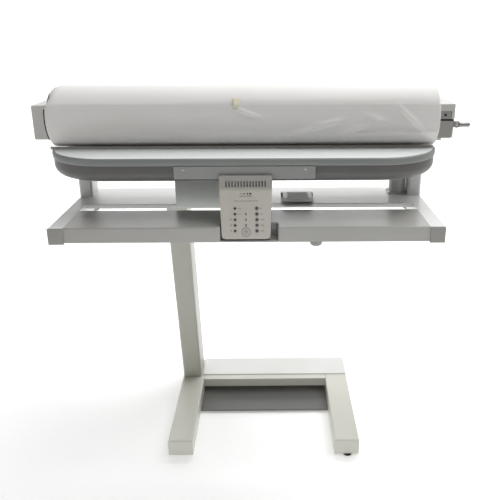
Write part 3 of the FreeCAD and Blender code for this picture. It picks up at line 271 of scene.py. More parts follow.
black_rubber_and_gap_shadow = rubber("black_rubber_and_gap_shadow", (0.018, 0.018, 0.018), (0.06, 0.058, 0.054))
pads_low, pads_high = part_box("foot_pads")
pad_radius = 0.009
pad_height = pads_high.z - pads_low.z


def turn_pad(mesh, x, y, radius):
    pad_outline = (
        (0.0, 0.0), (0.0, radius - 0.0012), (0.0004, radius - 0.0004), (0.0012, radius),
        (0.0022, radius), (0.0026, radius - 0.0006), (0.0030, radius - 0.0006), (0.0034, radius),
        (pad_height, radius), (pad_height, 0.0),
    )
    turn(mesh, pad_outline, (x, y, pads_low.z), upward, 28)


pad_mesh = bmesh.new()
for pad_x in (pads_low.x + pad_radius, pads_high.x - pad_radius):
    for pad_y in (pads_low.y + pad_radius, pads_high.y - pad_radius):
        turn_pad(pad_mesh, pad_x, pad_y, pad_radius)
make_piece("rubber_pads", pad_mesh, black_rubber_and_gap_shadow, ["foot_pads"])
level_pad_radius = 0.011
level_pad_shift = 0.003
level_pad_inset = 0.0075
right_foot_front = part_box("right_foot")[0].y
level_pad_mesh = bmesh.new()
turn_pad(
    level_pad_mesh, pads_high.x - pad_radius + level_pad_shift, right_foot_front + level_pad_inset,
    level_pad_radius,
)
make_piece("levelling_pad", level_pad_mesh, black_rubber_and_gap_shadow)


# Stand: two box-section feet, a crossbar and a leaning box column, welded from folded sheet steel
# and powder-coated cream grey. The column takes a darker copy of the paint, painted shade under the tray,
# and the feet and crossbar a paler copy, painted light from the bright floor. The column carries a flat
# head plate under the tray.
def powder_coat(name, colour, soiled, gloss, *nodes):
    """Baked powder paint: fine orange peel, faint clouds of handling dirt and a few rubbed streaks."""
    material, place = new_finish(name)
    clouds = rise(mottle(place, 4.5, 4.0), 0.40, 0.80)
    streaks = rise(mottle(stretched(place, 9.0, 9.0, 60.0), 1.0, 3.0), 0.6, 0.8)
    specks = rise(mottle(place, 260.0, 2.0), 0.74, 0.80)
    dirt = 0.55 * clouds + 0.3 * specks
    peel = mottle(place, 700.0, 1.0)
    return dress(material, {
        "IOR": 1.5, "Coat Roughness": 0.25,
        "Base Color": tint(dirt, colour, soiled),
        "Roughness": gloss + 0.12 * clouds + 0.08 * streaks,
        "Coat Weight": 0.25 - 0.15 * clouds,
        "Normal": relief(peel, 0.00025, 0.35),
    }, *nodes)


# Darker copy of the cream paint on the column: painted shade under the tray.
powder_coat("cream_paint", (0.47, 0.465, 0.41), (0.41, 0.40, 0.345), 0.34, "column", "column_head")
# Paler copy of the cream paint on the feet and crossbar: painted light from the floor.
powder_coat(
    "lit_cream_copy", (0.70, 0.695, 0.62), (0.61, 0.595, 0.515), 0.34,
    "left_foot", "right_foot", "crossbar",
)

# Floor plate: a flat sheet of black-painted steel between the feet, close to the floor. It holds the
# feet apart and carries the weight that keeps the stand from tipping.
powder_coat("black_paint", (0.11, 0.11, 0.105), (0.19, 0.185, 0.172), 0.38, "floor_plate")

# Tray, posts and rear beam: pressed and folded sheet steel, screwed together on the head plate, all
# powder-coated white like the lid of the base. The front beam, rear beam and back panel take a darker copy of
# the paint, which is painted shade, and the rest and the lid a brighter copy, which is painted light.
# Darker copy of the white paint: painted shade.
white_paint = powder_coat(
    "white_paint", (0.46, 0.455, 0.43), (0.415, 0.405, 0.375), 0.30,
    "tray_front_beam", "rear_beam", "back_panel",
)
# Brighter copy of the white paint: painted light.
powder_coat(
    "lit_white_copy", (0.80, 0.805, 0.785), (0.69, 0.69, 0.655), 0.30,
    "ballast_lid", "rear_shelf", "left_cheek", "right_cheek", "left_post", "right_post",
)

# Tray feet: three moulded rubber buffers, screwed up into the tray's ribs, that keep the tray off the table
# when the machine is lifted off its stand. The drive belt is the same grey rubber.
grey_rubber = rubber("grey_rubber", (0.34, 0.34, 0.33), (0.42, 0.415, 0.40), "drive_belt")
feet_low, feet_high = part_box("tray_feet")
buffer_radius = 0.014
buffer_height = feet_high.z - feet_low.z
front_buffer_x = 0.140
rear_buffer_y = feet_high.y - buffer_radius
buffer_places = (
    (front_buffer_x, feet_low.y + buffer_radius),
    (feet_low.x + buffer_radius, rear_buffer_y),
    (feet_high.x - buffer_radius, rear_buffer_y),
)
buffer_outline = (
    (0.0, 0.0), (0.0, buffer_radius - 0.0060), (0.0008, buffer_radius - 0.0036),
    (0.0030, buffer_radius - 0.0018), (0.0065, buffer_radius - 0.0007),
    (0.0110, buffer_radius - 0.0002), (buffer_height, buffer_radius), (buffer_height, 0.0),
)
buffer_mesh = bmesh.new()
for buffer_x, buffer_y in buffer_places:
    turn(buffer_mesh, buffer_outline, (buffer_x, buffer_y, feet_low.z), upward, 36)
make_piece("tray_buffers", buffer_mesh, grey_rubber, ["tray_feet"])


# Back louvres: two stacks of pressed hoods in the back panel, behind the gear motor, that let its warm
# air out. They are the same painted sheet as the panel.
def cuboid(mesh, low, high):
    """A box between two corners. Gives its edges."""
    low = Vector(low)
    high = Vector(high)
    verts = bmesh.ops.create_cube(mesh, size=1.0)["verts"]
    bmesh.ops.scale(mesh, verts=verts, vec=high - low)
    bmesh.ops.translate(mesh, verts=verts, vec=(low + high) / 2)
    return list({edge for vert in verts for edge in vert.link_edges})


def round_edges(mesh, edges, radius, segments):
    bmesh.ops.bevel(
        mesh, geom=edges, offset=radius, segments=segments, profile=0.5, affect="EDGES", material=-1,
    )


def block(mesh, low, high, rounding, segments=2):
    """A box between two corners with all its edges rounded."""
    round_edges(mesh, cuboid(mesh, low, high), rounding, segments)


panel_low, panel_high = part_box("back_panel")
motor_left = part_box("drive_motor")[0].x
louvre_length = 0.052
louvre_height = 0.006
louvre_pitch = 0.0105
louvre_depth = 0.0028
louvre_root = 0.0004
louvre_round = 0.0015
louvre_rows = 7
stack_bottom = panel_low.z + 0.014
stack_lefts = (motor_left + 0.008, motor_left + 0.070)
louvre_mesh = bmesh.new()
for louvre_x in stack_lefts:
    for row in range(louvre_rows):
        louvre_z = stack_bottom + row * louvre_pitch
        block(
            louvre_mesh,
            (louvre_x, panel_high.y - louvre_root, louvre_z),
            (louvre_x + louvre_length, panel_high.y + louvre_depth, louvre_z + louvre_height),
            louvre_round, 3,
        )
make_piece("back_louvres", louvre_mesh, white_paint)


# End housings and caps: injection-moulded ABS shells in off-white, screwed to the ends of the rear beam.
# They carry the roller's bushes; the left one hides the belt drive. The cheek caps and the lower right cap
# take a darker copy of the plastic, which is painted shade.
def plastic(name, colour, yellowed, gloss, *nodes):
    """Moulded plastic with a fine spark-eroded grain and faint uneven yellowing."""
    material, place = new_finish(name)
    age = rise(mottle(place, 6.0, 3.0), 0.35, 0.8)
    grain = mottle(place, 1700.0, 1.0)
    rubbed = rise(mottle(place, 38.0, 4.0), 0.5, 0.75)
    return dress(material, {
        "IOR": 1.52,
        "Base Color": tint(age, colour, yellowed),
        "Roughness": gloss + 0.1 * grain + 0.08 * rubbed,
        "Normal": relief(grain, 0.00018, 0.4),
    }, *nodes)


plastic(
    "white_plastic", (0.64, 0.63, 0.605), (0.58, 0.565, 0.53), 0.36,
    "left_arm", "left_arm_cover", "right_arm", "right_cap_upper",
)
# Darker copy of the off-white plastic on the cheek caps and lower cap: painted shade.
plastic("painted_shade_plastic", (0.36, 0.35, 0.33), (0.32, 0.31, 0.29), 0.36, "cheek_caps", "right_cap_lower")


# Screws: nickel-plated steel pan heads with a cross recess, turned and pressed. Six hold the back panel and
# two the centre cover.
def metal(name, colour, worn, gloss, streak, *nodes):
    """Drawn or turned metal: fine lines along the stock and a little dulling."""
    material, place = new_finish(name)
    lines = mottle(stretched(place, *streak), 1.0, 2.0)
    dull = rise(mottle(place, 45.0, 4.0), 0.45, 0.75)
    return dress(material, {
        "Metallic": 1.0,
        "Base Color": tint(dull, colour, worn),
        "Roughness": gloss + 0.12 * lines + 0.14 * dull,
        "Normal": relief(lines, 0.0001, 0.35),
    }, *nodes)


def centre_of(node):
    low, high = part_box(node)
    return (low + high) / 2


def saw(mesh, point, normal, clear_outer=False):
    """Cut a whole mesh along a plane. Gives the edges of the cut."""
    parts = mesh.verts[:] + mesh.edges[:] + mesh.faces[:]
    sawn = bmesh.ops.bisect_plane(
        mesh, geom=parts, dist=merge_distance, plane_co=point, plane_no=normal, clear_outer=clear_outer,
    )
    return only(bmesh.types.BMEdge, sawn["geom_cut"])


def pull(mesh, faces, way):
    """Extrude faces along a way."""
    pulled = bmesh.ops.extrude_face_region(mesh, geom=faces)
    bmesh.ops.translate(mesh, verts=only(bmesh.types.BMVert, pulled["geom"]), vec=way)


def pan_head(mesh, centre, outward):
    """One screw head with a cross recess."""
    head_radius = 0.003
    head_rise = 0.0015
    seat_depth = 0.0002
    recess_half_width = 0.00045
    recess_reach = 0.0017
    recess_depth = 0.0009
    centre = Vector(centre)
    outline = (
        (-seat_depth, 0.0), (-seat_depth, head_radius), (head_rise * 0.45, head_radius),
        (head_rise * 0.8, head_radius * 0.82), (head_rise, head_radius * 0.55), (head_rise, 0.0),
    )
    head = bmesh.new()
    turn(head, outline, centre, outward, 24)
    bmesh.ops.remove_doubles(head, verts=head.verts, dist=merge_distance)
    second = outward.cross(rightward)
    for direction in (rightward, second):
        for side in (-recess_half_width, recess_half_width):
            saw(head, centre + direction * side, direction)
    recess = []
    for face in head.faces:
        middle = face.calc_center_median() - centre
        sides = (abs(middle.dot(rightward)), abs(middle.dot(second)))
        in_cross = min(sides) < recess_half_width and max(sides) < recess_reach
        if in_cross and middle.dot(outward) > head_rise * 0.8:
            recess.append(face)
    pull(head, recess, outward * -recess_depth)
    bmesh.ops.delete(head, geom=recess, context="FACES")
    head_data = bpy.data.meshes.new("head")
    head.to_mesh(head_data)
    head.free()
    mesh.from_mesh(head_data)
    bpy.data.meshes.remove(head_data)


plated_steel = metal("plated_steel", (0.62, 0.61, 0.58), (0.42, 0.41, 0.39), 0.24, (500.0, 500.0, 500.0))
cover_low, cover_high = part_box("centre_cover")
roller_low, roller_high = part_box("roller_cover")
roller_centre = centre_of("roller_cover")
roller_middle = roller_centre.x
screw_inset = 0.020
panel_screw_margin = 0.012
cover_screw_drop = 0.006
screw_mesh = bmesh.new()
for screw_x in (panel_low.x + screw_inset, roller_middle, panel_high.x - screw_inset):
    for screw_z in (panel_low.z + panel_screw_margin, panel_high.z - panel_screw_margin):
        pan_head(screw_mesh, (screw_x, panel_high.y, screw_z), rearward)
for screw_x in (cover_low.x + screw_inset, cover_high.x - screw_inset):
    pan_head(screw_mesh, (screw_x, cover_low.y, cover_high.z - cover_screw_drop), -rearward)
make_piece("screw_heads", screw_mesh, plated_steel, ["case_screws"])

# Cap screw, recess shade and the gasket: the upper cap's screw is blackened and sits in a recess whose floor
# carries a darker grey slab, painted shade in the recess, and a black rubber strip fills the joint between
# the two caps.
cap_low, cap_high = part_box("right_cap_upper")
cap_recess = 0.002
recess_inset = 0.006
recess_height = 0.018
recess_floor = cap_low.y + cap_recess
cap_middle = centre_of("right_cap_upper").x
black_steel = metal(
    "black_steel", (0.07, 0.068, 0.065), (0.13, 0.125, 0.12), 0.35, (500.0, 500.0, 500.0),
)
cap_screw_mesh = bmesh.new()
pan_head(cap_screw_mesh, (cap_middle, recess_floor, cap_low.z + recess_height / 2), -rearward)
make_piece("cap_screw", cap_screw_mesh, black_steel)

recess_shade_gap = 0.0002
recess_shade_proud = 0.0003
recess_shade_round = 0.0001
recess_shade_mesh = bmesh.new()
block(
    recess_shade_mesh,
    (cap_low.x + recess_inset + recess_shade_gap, recess_floor - recess_shade_proud, cap_low.z + recess_shade_gap),
    (cap_high.x - recess_inset - recess_shade_gap, recess_floor + recess_shade_gap, cap_low.z + recess_height - recess_shade_gap),
    recess_shade_round, 1,
)
# Darker grey slab on the recess floor: painted shade in the recess.
recess_shade_plastic = plastic("recess_shade_plastic", (0.33, 0.32, 0.30), (0.38, 0.365, 0.34), 0.42)
make_piece("recess_shade_slab", recess_shade_mesh, recess_shade_plastic)

gasket_inset = 0.0010
gasket_sink = 0.0012
gasket_round = 0.0004
gasket_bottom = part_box("right_cap_lower")[1].z
gasket_mesh = bmesh.new()
block(
    gasket_mesh,
    (cap_low.x + gasket_inset, cap_low.y + gasket_sink, gasket_bottom),
    (cap_high.x - gasket_inset, cap_high.y, cap_low.z),
    gasket_round,
)
make_piece("cap_gasket", gasket_mesh, black_rubber_and_gap_shadow)

# Bushes, end discs, roller tube and pulleys: turned bronze, steel and aluminium. The discs are pressed
# into the tube, and their journals run in the bushes of the end housings.
bronze = metal(
    "bronze", (0.55, 0.38, 0.20), (0.32, 0.22, 0.12), 0.3, (80.0, 900.0, 900.0), "roller_bushes",
)
metal(
    "turned_steel", (0.55, 0.55, 0.54), (0.36, 0.35, 0.34), 0.28, (900.0, 60.0, 60.0),
    "left_end_disc", "right_end_disc", "motor_pulley", "shoe_heater", "shoe_thermostat", "guide_rods",
    "lift_rod",
)
metal(
    "drawn_aluminium", (0.78, 0.78, 0.77), (0.56, 0.55, 0.53), 0.26, (12.0, 900.0, 900.0),
    "roller_tube", "roller_pulley",
)

# Heated shoe: an aluminium casting with a curved trough, hard-anodised to a pale grey so that cloth slides
# on it. It is screwed to its carrier and pressed up against the roller.
plastic("anodised", (0.62, 0.60, 0.57), (0.55, 0.53, 0.50), 0.34, "heated_shoe")

# Gear motor and shoe carrier: grey-painted steel. The motor is flanged to the left end housing inside
# the rear beam, and the carrier lifts the heated shoe on its guide rods.
powder_coat("grey_paint", (0.36, 0.37, 0.36), (0.26, 0.26, 0.25), 0.36, "drive_motor", "shoe_carrier")

# Felt sleeve: needled wool felt wound on the roller tube, with soft rounded ends. The cotton cover is
# drawn over it.
roller_radius = (roller_high.z - roller_low.z) / 2
roller_axis = Vector((0.0, roller_centre.y, roller_centre.z))
tube_low, tube_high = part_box("roller_tube")
tube_radius = (tube_high.z - tube_low.z) / 2
felt_depth = 0.0040
felt_inset = 0.007
felt_round = 0.0032
felt_radius = roller_radius - felt_depth
felt_start = roller_low.x + felt_inset
felt_end = roller_high.x - felt_inset
felt_outline = (
    (felt_start, tube_radius), (felt_start, felt_radius - felt_round),
    (felt_start + felt_round * 0.3, felt_radius - felt_round * 0.3),
    (felt_start + felt_round, felt_radius), (roller_middle, felt_radius),
    (felt_end - felt_round, felt_radius),
    (felt_end - felt_round * 0.3, felt_radius - felt_round * 0.3),
    (felt_end, felt_radius - felt_round), (felt_end, tube_radius), (felt_start, tube_radius),
)
felt_mesh = bmesh.new()
turn(felt_mesh, felt_outline, roller_axis, rightward, 72)
felt, felt_place = new_finish("felt")
fibres = mottle(stretched(felt_place, 300.0, 900.0, 900.0), 1.0, 4.0)
dress(felt, {
    "Roughness": 0.95, "Sheen Weight": 0.4,
    "Base Color": tint(fibres, (0.60, 0.57, 0.50), (0.74, 0.71, 0.64)),
    "Normal": relief(fibres, 0.0008, 0.8),
})
felt_sleeve = make_piece("felt_sleeve", felt_mesh, felt, ["roller_padding"], body="roller")

# Roller cover: one hemmed sheet of white cotton cloth, wrapped a turn and a bit round the felt. Its free
# edge lies upward along the front of the roller, its ends are drawn in over the roller's ends, and soft
# folds have worked into the right half.
cloth_thick = 0.0006
cloth_depth = 0.0018
cloth_radius = roller_radius - cloth_depth
lap = 0.086
free_edge = radians(26.5)
drawn_in = 0.020
end_round = 0.004
slack_round = 0.026
around = 2 * pi * cloth_radius + lap
straight = roller_high.x - roller_low.x - 2 * end_round
along = straight + 2 * (end_round * pi / 2 + drawn_in)
folds = (
    ((-0.030, 20.0), (0.018, 7.0), 0.0038, 0.0046),
    ((0.070, -29.0), (0.188, -3.0), 0.0046, 0.0066),
    ((0.135, -8.0), (0.200, 2.0), 0.0036, 0.0044),
    ((0.172, -30.0), (0.275, -2.0), 0.0050, 0.0064),
    ((0.318, 24.0), (0.378, -20.0), 0.0046, 0.0054),
    ((0.205, -27.0), (0.405, -23.0), 0.0055, 0.0050),
    ((0.240, 12.0), (0.300, -6.0), 0.0060, 0.0036),
    ((-0.170, 18.0), (-0.040, 16.0), 0.0060, -0.0008),
    ((0.060, -14.0), (0.130, 3.0), 0.0075, -0.0010),
    ((0.285, 6.0), (0.345, -14.0), 0.0075, -0.0009),
    ((-0.350, -38.0), (-0.110, -34.0), 0.0080, 0.0007),
)


def smooth_step(value):
    value = min(max(value, 0.0), 1.0)
    return value * value * (3.0 - 2.0 * value)


def fold_height(x, angle):
    """How far the folds and the cloth's unevenness lift it off the felt."""
    turned = (angle + pi) % (2 * pi) - pi
    here = Vector((x, turned * cloth_radius))
    lift = 0.0
    for (start_x, start_turn), (stop_x, stop_turn), half_width, height in folds:
        start = Vector((start_x, radians(start_turn) * cloth_radius))
        stop = Vector((stop_x, radians(stop_turn) * cloth_radius))
        run = stop - start
        share = min(max((here - start).dot(run) / run.length_squared, 0.0), 1.0)
        away = (here - start - run * share).length
        fade = sin(pi * (0.12 + 0.76 * share))
        lift += height * fade * exp(-((away / half_width) ** 2))
    slack = 0.35 + 0.65 * smooth_step((x + 0.1) / 0.25)
    ripple = noise.noise(Vector((x * 11.0, cos(angle) * 1.6, sin(angle) * 1.6)))
    crumple = noise.noise(Vector((x * 34.0, cos(angle) * 4.0, 7.0 + sin(angle) * 4.0)))
    return lift + slack * (0.0006 * ripple + 0.00025 * crumple)


def flap_stand_off(across, wound):
    """How far the free edge stands off the layer under it, more so at the slack right."""
    flap_length = 0.027
    held_length = 0.06
    tight_lift = 0.0021
    slack_lift = 0.0032
    slack = smooth_step((across + 0.16) / 0.3)
    held_end = smooth_step((straight / 2 - abs(across)) / held_length)
    at_edge = (tight_lift + slack_lift * slack) * (0.35 + 0.65 * held_end)
    return at_edge * max(0.0, 1.0 - abs(wound) / flap_length) ** 2


def place_in_sheet(grid_point):
    """Where a grid point lies in the flat sheet. The grid is finer at the right and at the free edge."""
    crowding = 0.4
    share_along = grid_point.x + crowding * (0.25 - grid_point.x ** 2)
    share_around = (grid_point.y + 0.5) ** 2
    return share_along * along, share_around * around


def on_roller(x, radius, angle):
    """A place round the roller. The angle runs up from the front."""
    return x, roller_axis.y - radius * cos(angle), roller_axis.z + radius * sin(angle)


lap_step = 0.0009
lap_fade = 0.030
top_slack = 0.0015
edge_dip = 0.0009
inner_sink = 0.0012
pleat_depth = 0.0022
cover_mesh = bmesh.new()
bmesh.ops.create_grid(cover_mesh, x_segments=310, y_segments=140, size=0.5)
flat_map = cover_mesh.loops.layers.uv.new("flat")
for face in cover_mesh.faces:
    for loop in face.loops:
        loop[flat_map].uv = place_in_sheet(loop.vert.co)
for vert in cover_mesh.verts:
    across, wound = place_in_sheet(vert.co)
    angle = free_edge - wound / cloth_radius
    upper_half = smooth_step((sin(angle) - 0.25) / 0.6)
    level = lap_step * (1.0 - smooth_step((wound - lap) / lap_fade)) + top_slack * upper_half
    level += flap_stand_off(across, wound)
    to_edge = wound - 2 * pi * cloth_radius
    level -= edge_dip * exp(-((to_edge / 0.009) ** 2)) * smooth_step((across + 0.3) / 0.3)
    inner_layer = smooth_step((to_edge - 0.004) / 0.01)
    level -= inner_sink * inner_layer
    radius = cloth_radius + level + (1.0 - inner_layer) * fold_height(roller_middle + across, angle)
    rounding = end_round
    if across < 0.0:
        rounding += (slack_round - end_round) * upper_half
    shoulder = straight / 2 + end_round - rounding
    past = abs(across) - shoulder
    reach = abs(across)
    if past > 0.0:
        bend = min(past / rounding, pi / 2)
        reach = shoulder + rounding * sin(bend)
        radius -= rounding * (1.0 - cos(bend))
        beyond = max(0.0, past - rounding * pi / 2)
        radius -= beyond
        pleat = 0.5 + 0.5 * sin(30 * angle + 2.0 * sin(3 * angle) + 1.5 * sin(7 * angle))
        reach -= pleat * pleat_depth * smooth_step(beyond / drawn_in)
    vert.co = on_roller(roller_middle + copysign(reach, across), radius, angle)
cotton, cotton_place = new_finish("cotton")
cloth_uv = cotton_place.node("ShaderNodeUVMap", {"uv_map": "flat"}, {})
cloth_x = cloth_uv.node("ShaderNodeSeparateXYZ", {}, {"Vector": cloth_uv}, "X")
cloth_wound = cloth_uv.node("ShaderNodeSeparateXYZ", {}, {"Vector": cloth_uv}, "Y")
thread_pitch = 0.0011
stitch_pitch = 0.0034
hem_width = 0.011
thread_turn = 2 * pi / thread_pitch
stitch_turn = 2 * pi / stitch_pitch
warp = cloth_x.math("SINE", cloth_x * thread_turn)
weft = cloth_wound.math("SINE", cloth_wound * thread_turn)
slub = mottle(stretched(cloth_uv, 60.0, 900.0, 1.0), 1.0, 2.0)
weave = 0.5 + 0.5 * warp * weft + 0.6 * slub
from_hem = cloth_wound.math("ABSOLUTE", cloth_wound - hem_width)
hem_line = 1.0 - rise(from_hem, 0.0003, 0.0011)
stitch = rise(cloth_x.math("SINE", cloth_x * stitch_turn), -0.3, 0.2)
hem_fold = 1.0 - rise(cloth_wound, 0.0100, 0.0118)
used = rise(mottle(cloth_uv, 5.0, 4.0), 0.45, 0.8)
scorch = rise(mottle(stretched(cloth_uv, 3.0, 14.0, 1.0), 1.0, 3.0), 0.55, 0.85)
# The front of the sheet, below its free edge, is painted darker: painted shade under the flap line, mixed
# with random soiling.
flap_painted_shade = 1.0 - rise(cloth_wound, 0.07, 0.16)
soiled = tint(0.30 * used + 0.65 * flap_painted_shade, (0.94, 0.925, 0.905), (0.79, 0.765, 0.74))
hem_height = 1.4 * hem_fold - 1.2 * hem_line * (1.0 - 0.8 * stitch)
dress(cotton, {
    "Specular IOR Level": 0.25, "Sheen Weight": 0.25, "Sheen Roughness": 0.5,
    "Base Color": tint(0.3 * scorch, soiled, (0.84, 0.80, 0.70)),
    "Roughness": 0.80 + 0.12 * used,
    "Normal": relief(0.35 * weave + hem_height, 0.0004, 0.6),
})
roller_cloth = make_piece("roller_cloth", cover_mesh, cotton, ["roller_cover"], body="roller")
cloth_wall = roller_cloth.modifiers.new("cloth_wall", "SOLIDIFY")
cloth_wall.thickness = cloth_thick
cloth_wall.offset = -1.0

# Cover tab: a short end of yellowed cotton tape, sewn over the hem of the cover at its free edge. It is
# what the user pulls to undo the cover for washing.
tab_middle = -0.030
tab_half_width = 0.0065
tab_low = radians(21.0)
tab_high = radians(41.0)
tab_stand_off = 0.0019
tab_thick = 0.0004
tab_mesh = bmesh.new()
bmesh.ops.create_grid(tab_mesh, x_segments=6, y_segments=12, size=0.5)
for vert in tab_mesh.verts:
    angle = tab_low + (tab_high - tab_low) * (vert.co.y + 0.5)
    x = tab_middle + 2 * tab_half_width * vert.co.x
    wound = (free_edge - angle) * cloth_radius
    stand_off = tab_stand_off + fold_height(x, angle) + flap_stand_off(x - roller_middle, wound)
    vert.co = on_roller(x, cloth_radius + stand_off, angle)
tape, tape_place = new_finish("tape")
rib_values = {"Vector": tape_place, "Scale": 260.0}
ribs = tape_place.node("ShaderNodeTexWave", {"bands_direction": "X"}, rib_values, "Fac")
dress(tape, {
    "Roughness": 0.85, "Sheen Weight": 0.2,
    "Base Color": tint(mottle(tape_place, 180.0), (0.80, 0.77, 0.60), (0.74, 0.70, 0.52)),
    "Normal": relief(ribs, 0.0002, 0.6),
})
cover_tab = make_piece("cover_tab", tab_mesh, tape, body="roller")
tab_wall = cover_tab.modifiers.new("tab_wall", "SOLIDIFY")
tab_wall.thickness = tab_thick
tab_wall.offset = 1.0

# Gap shadow: a black arc on the left end housing, bent round the front of the roller's end. It is painted
# shade, a dark strip that stands for the shadow in the gap between the housing and the cloth's end.
shadow_inner = 0.058
shadow_outer = 0.0640
shadow_left = roller_low.x - 0.0024
shadow_right = roller_low.x - 0.0004
shadow_top = radians(22.0)
shadow_turn = radians(66.0)
shadow_section = (
    (shadow_left, shadow_inner), (shadow_left, shadow_outer), (shadow_right, shadow_outer), (shadow_right, shadow_inner),
)
shadow_mesh = bmesh.new()
# Painted shade: a black arc for the shadow in the gap at the roller's left end.
shadow_corners = [shadow_mesh.verts.new(on_roller(x, radius, shadow_top)) for x, radius in shadow_section]
shadow_face = shadow_mesh.faces.new(shadow_corners)
bmesh.ops.spin(
    shadow_mesh, geom=[shadow_face], cent=roller_axis, axis=rightward, angle=shadow_turn, steps=24,
)
make_piece("gap_shadow_strip", shadow_mesh, black_rubber_and_gap_shadow)

# Shoe housing: the dark moulded tub that the heated shoe sits in, open on top, with round front corners.
# It hangs between the posts and carries the feed board.
plastic("dark_plastic", (0.123, 0.121, 0.115), (0.148, 0.144, 0.134), 0.36, "shoe_housing")


# Feed board and its edge: a board faced with white laminate, framed by a grey-green moulded edge with a
# rounded nose. It is clipped on the tub, and the cloth is laid on it.
hair = 0.0001


def upright_edges(mesh):
    return [edge for edge in mesh.edges if abs(edge.verts[0].co.z - edge.verts[1].co.z) > hair]


def board_slab(low, high, corner, inset):
    """A slab with two wide round front corners, drawn in by an inset, with two ears past the shoe's ends."""
    sawn_off = 0.010
    front = low.y + inset
    mesh = bmesh.new()
    cuboid(mesh, (low.x + inset, front, low.z), (high.x - inset, front + corner + sawn_off, high.z))
    front_corners = [edge for edge in upright_edges(mesh) if edge.verts[0].co.y < front + hair]
    round_edges(mesh, front_corners, corner - inset, 28)
    bmesh.ops.contextual_create(mesh, geom=saw(mesh, (0.0, high.y, 0.0), rearward, clear_outer=True))
    for line_x in (ear_left, ear_right):
        saw(mesh, (line_x, 0.0, 0.0), rightward)
    saw(mesh, (0.0, board_rear, 0.0), rearward)
    gap = []
    for face in mesh.faces:
        centre = face.calc_center_median()
        if centre.y > board_rear + hair and ear_left < centre.x < ear_right:
            gap.append(face)
    bmesh.ops.delete(mesh, geom=gap, context="FACES")
    upright = upright_edges(mesh)
    open_rims = [edge for edge in mesh.edges if edge.is_boundary and edge not in upright]
    bmesh.ops.bridge_loops(mesh, edges=open_rims)
    return mesh


def rim_edges(mesh, level):
    """The edges that lie flat at one height."""
    return [edge for edge in mesh.edges if all(abs(vert.co.z - level) < hair for vert in edge.verts)]


edge_low, edge_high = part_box("board_edge")
tub_low, tub_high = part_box("shoe_housing")
shoe_low, shoe_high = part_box("heated_shoe")
overhang = 0.002
shoe_gap = 0.0025
ear_gap = 0.002
edge_low.x = tub_low.x - overhang
edge_high.x = tub_high.x + overhang
board_rear = shoe_low.y - shoe_gap
ear_left = shoe_low.x - ear_gap
ear_right = shoe_high.x + ear_gap
board_corner = 0.140
edge_width = 0.0045
nose_round = 0.004125
edge_mesh = board_slab(edge_low, edge_high, board_corner, 0.0)
for level in (edge_low.z, edge_high.z):
    round_edges(edge_mesh, rim_edges(edge_mesh, level), nose_round, 5)
trim_plastic = plastic("trim_plastic", (0.24, 0.257, 0.248), (0.275, 0.286, 0.27), 0.34)
make_piece("board_rim", edge_mesh, trim_plastic, ["board_edge"])

sheet_thick = 0.002
sheet_proud = 0.0004
sheet_round = 0.0003
sheet_low = edge_low.copy()
sheet_low.z = edge_high.z - sheet_thick
sheet_high = edge_high.copy()
sheet_high.z = edge_high.z + sheet_proud
sheet_mesh = board_slab(sheet_low, sheet_high, board_corner, edge_width)
round_edges(sheet_mesh, rim_edges(sheet_mesh, sheet_high.z), sheet_round, 2)
laminate, laminate_place = new_finish("laminate")
smears = rise(mottle(stretched(laminate_place, 6.0, 22.0, 1.0), 1.0, 4.0), 0.45, 0.8)
flecks = rise(mottle(laminate_place, 420.0, 1.0), 0.68, 0.74)
dress(laminate, {
    "IOR": 1.5, "Coat Roughness": 0.12,
    "Base Color": tint(0.35 * smears + 0.15 * flecks, (0.88, 0.905, 0.90), (0.76, 0.80, 0.79)),
    "Roughness": 0.29 + 0.12 * smears,
    "Coat Weight": 0.35 - 0.2 * smears,
    "Normal": relief(mottle(laminate_place, 30.0), 0.0004, 0.12),
})
make_piece("board_laminate", sheet_mesh, laminate, ["feed_board"])

# Guard strip: a narrow beige plastic strip snapped on the board's rear edge. It stands a little above the
# board, so that damp cloth slides over the gap in front of the shoe.
strip_left = edge_low.x + 0.001
strip_right = edge_high.x - 0.009
strip_front = board_rear - 0.0002
strip_rear = board_rear + 0.0016
strip_bottom = edge_high.z - 0.001
strip_top = edge_high.z + 0.0058
strip_round = 0.0007
strip_mesh = bmesh.new()
block(
    strip_mesh, (strip_left, strip_front, strip_bottom), (strip_right, strip_rear, strip_top), strip_round, 3,
)
strip_plastic = plastic("strip_plastic", (0.46, 0.44, 0.405), (0.40, 0.38, 0.345), 0.38)
make_piece("guard_strip", strip_mesh, strip_plastic)

# Centre cover, pedestal and control pod: light grey plastic mouldings. The cover hides the middle of the tub,
# the pedestal on the shelf holds the electronics, and the pod hangs in the tray's notch. A thin apron, bonded
# on the pedestal's front, hides the shelf's edge.
plastic("grey_plastic", (0.325, 0.335, 0.322), (0.295, 0.30, 0.282), 0.40, "centre_cover", "control_pod")
pale_grey_plastic = plastic(
    "pale_grey_plastic", (0.68, 0.70, 0.68), (0.62, 0.64, 0.61), 0.40, "pedestal",
)
pedestal_low, pedestal_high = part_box("pedestal")
apron_thick = 0.0012
apron_drop = 0.002
apron_round = 0.0004
apron_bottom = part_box("rear_shelf")[0].z
apron_mesh = bmesh.new()
block(
    apron_mesh,
    (pedestal_low.x, pedestal_low.y - apron_thick, apron_bottom),
    (pedestal_high.x, pedestal_low.y, pedestal_high.z - apron_drop),
    apron_round,
)
make_piece("pedestal_apron", apron_mesh, pale_grey_plastic)

# Control panel: a moulded beige-grey plate clipped on the front of the pod, with slots at the top for
# cooling and holes for its lamps and keys. Its top band round the slots is painted darker: painted shade,
# for the board's shadow on the panel.
fascia, fascia_place = new_finish("fascia")
panel_level = fascia_place.node("ShaderNodeSeparateXYZ", {}, {"Vector": fascia_place}, "Z")
dark_from = 0.685
dark_to = 0.695
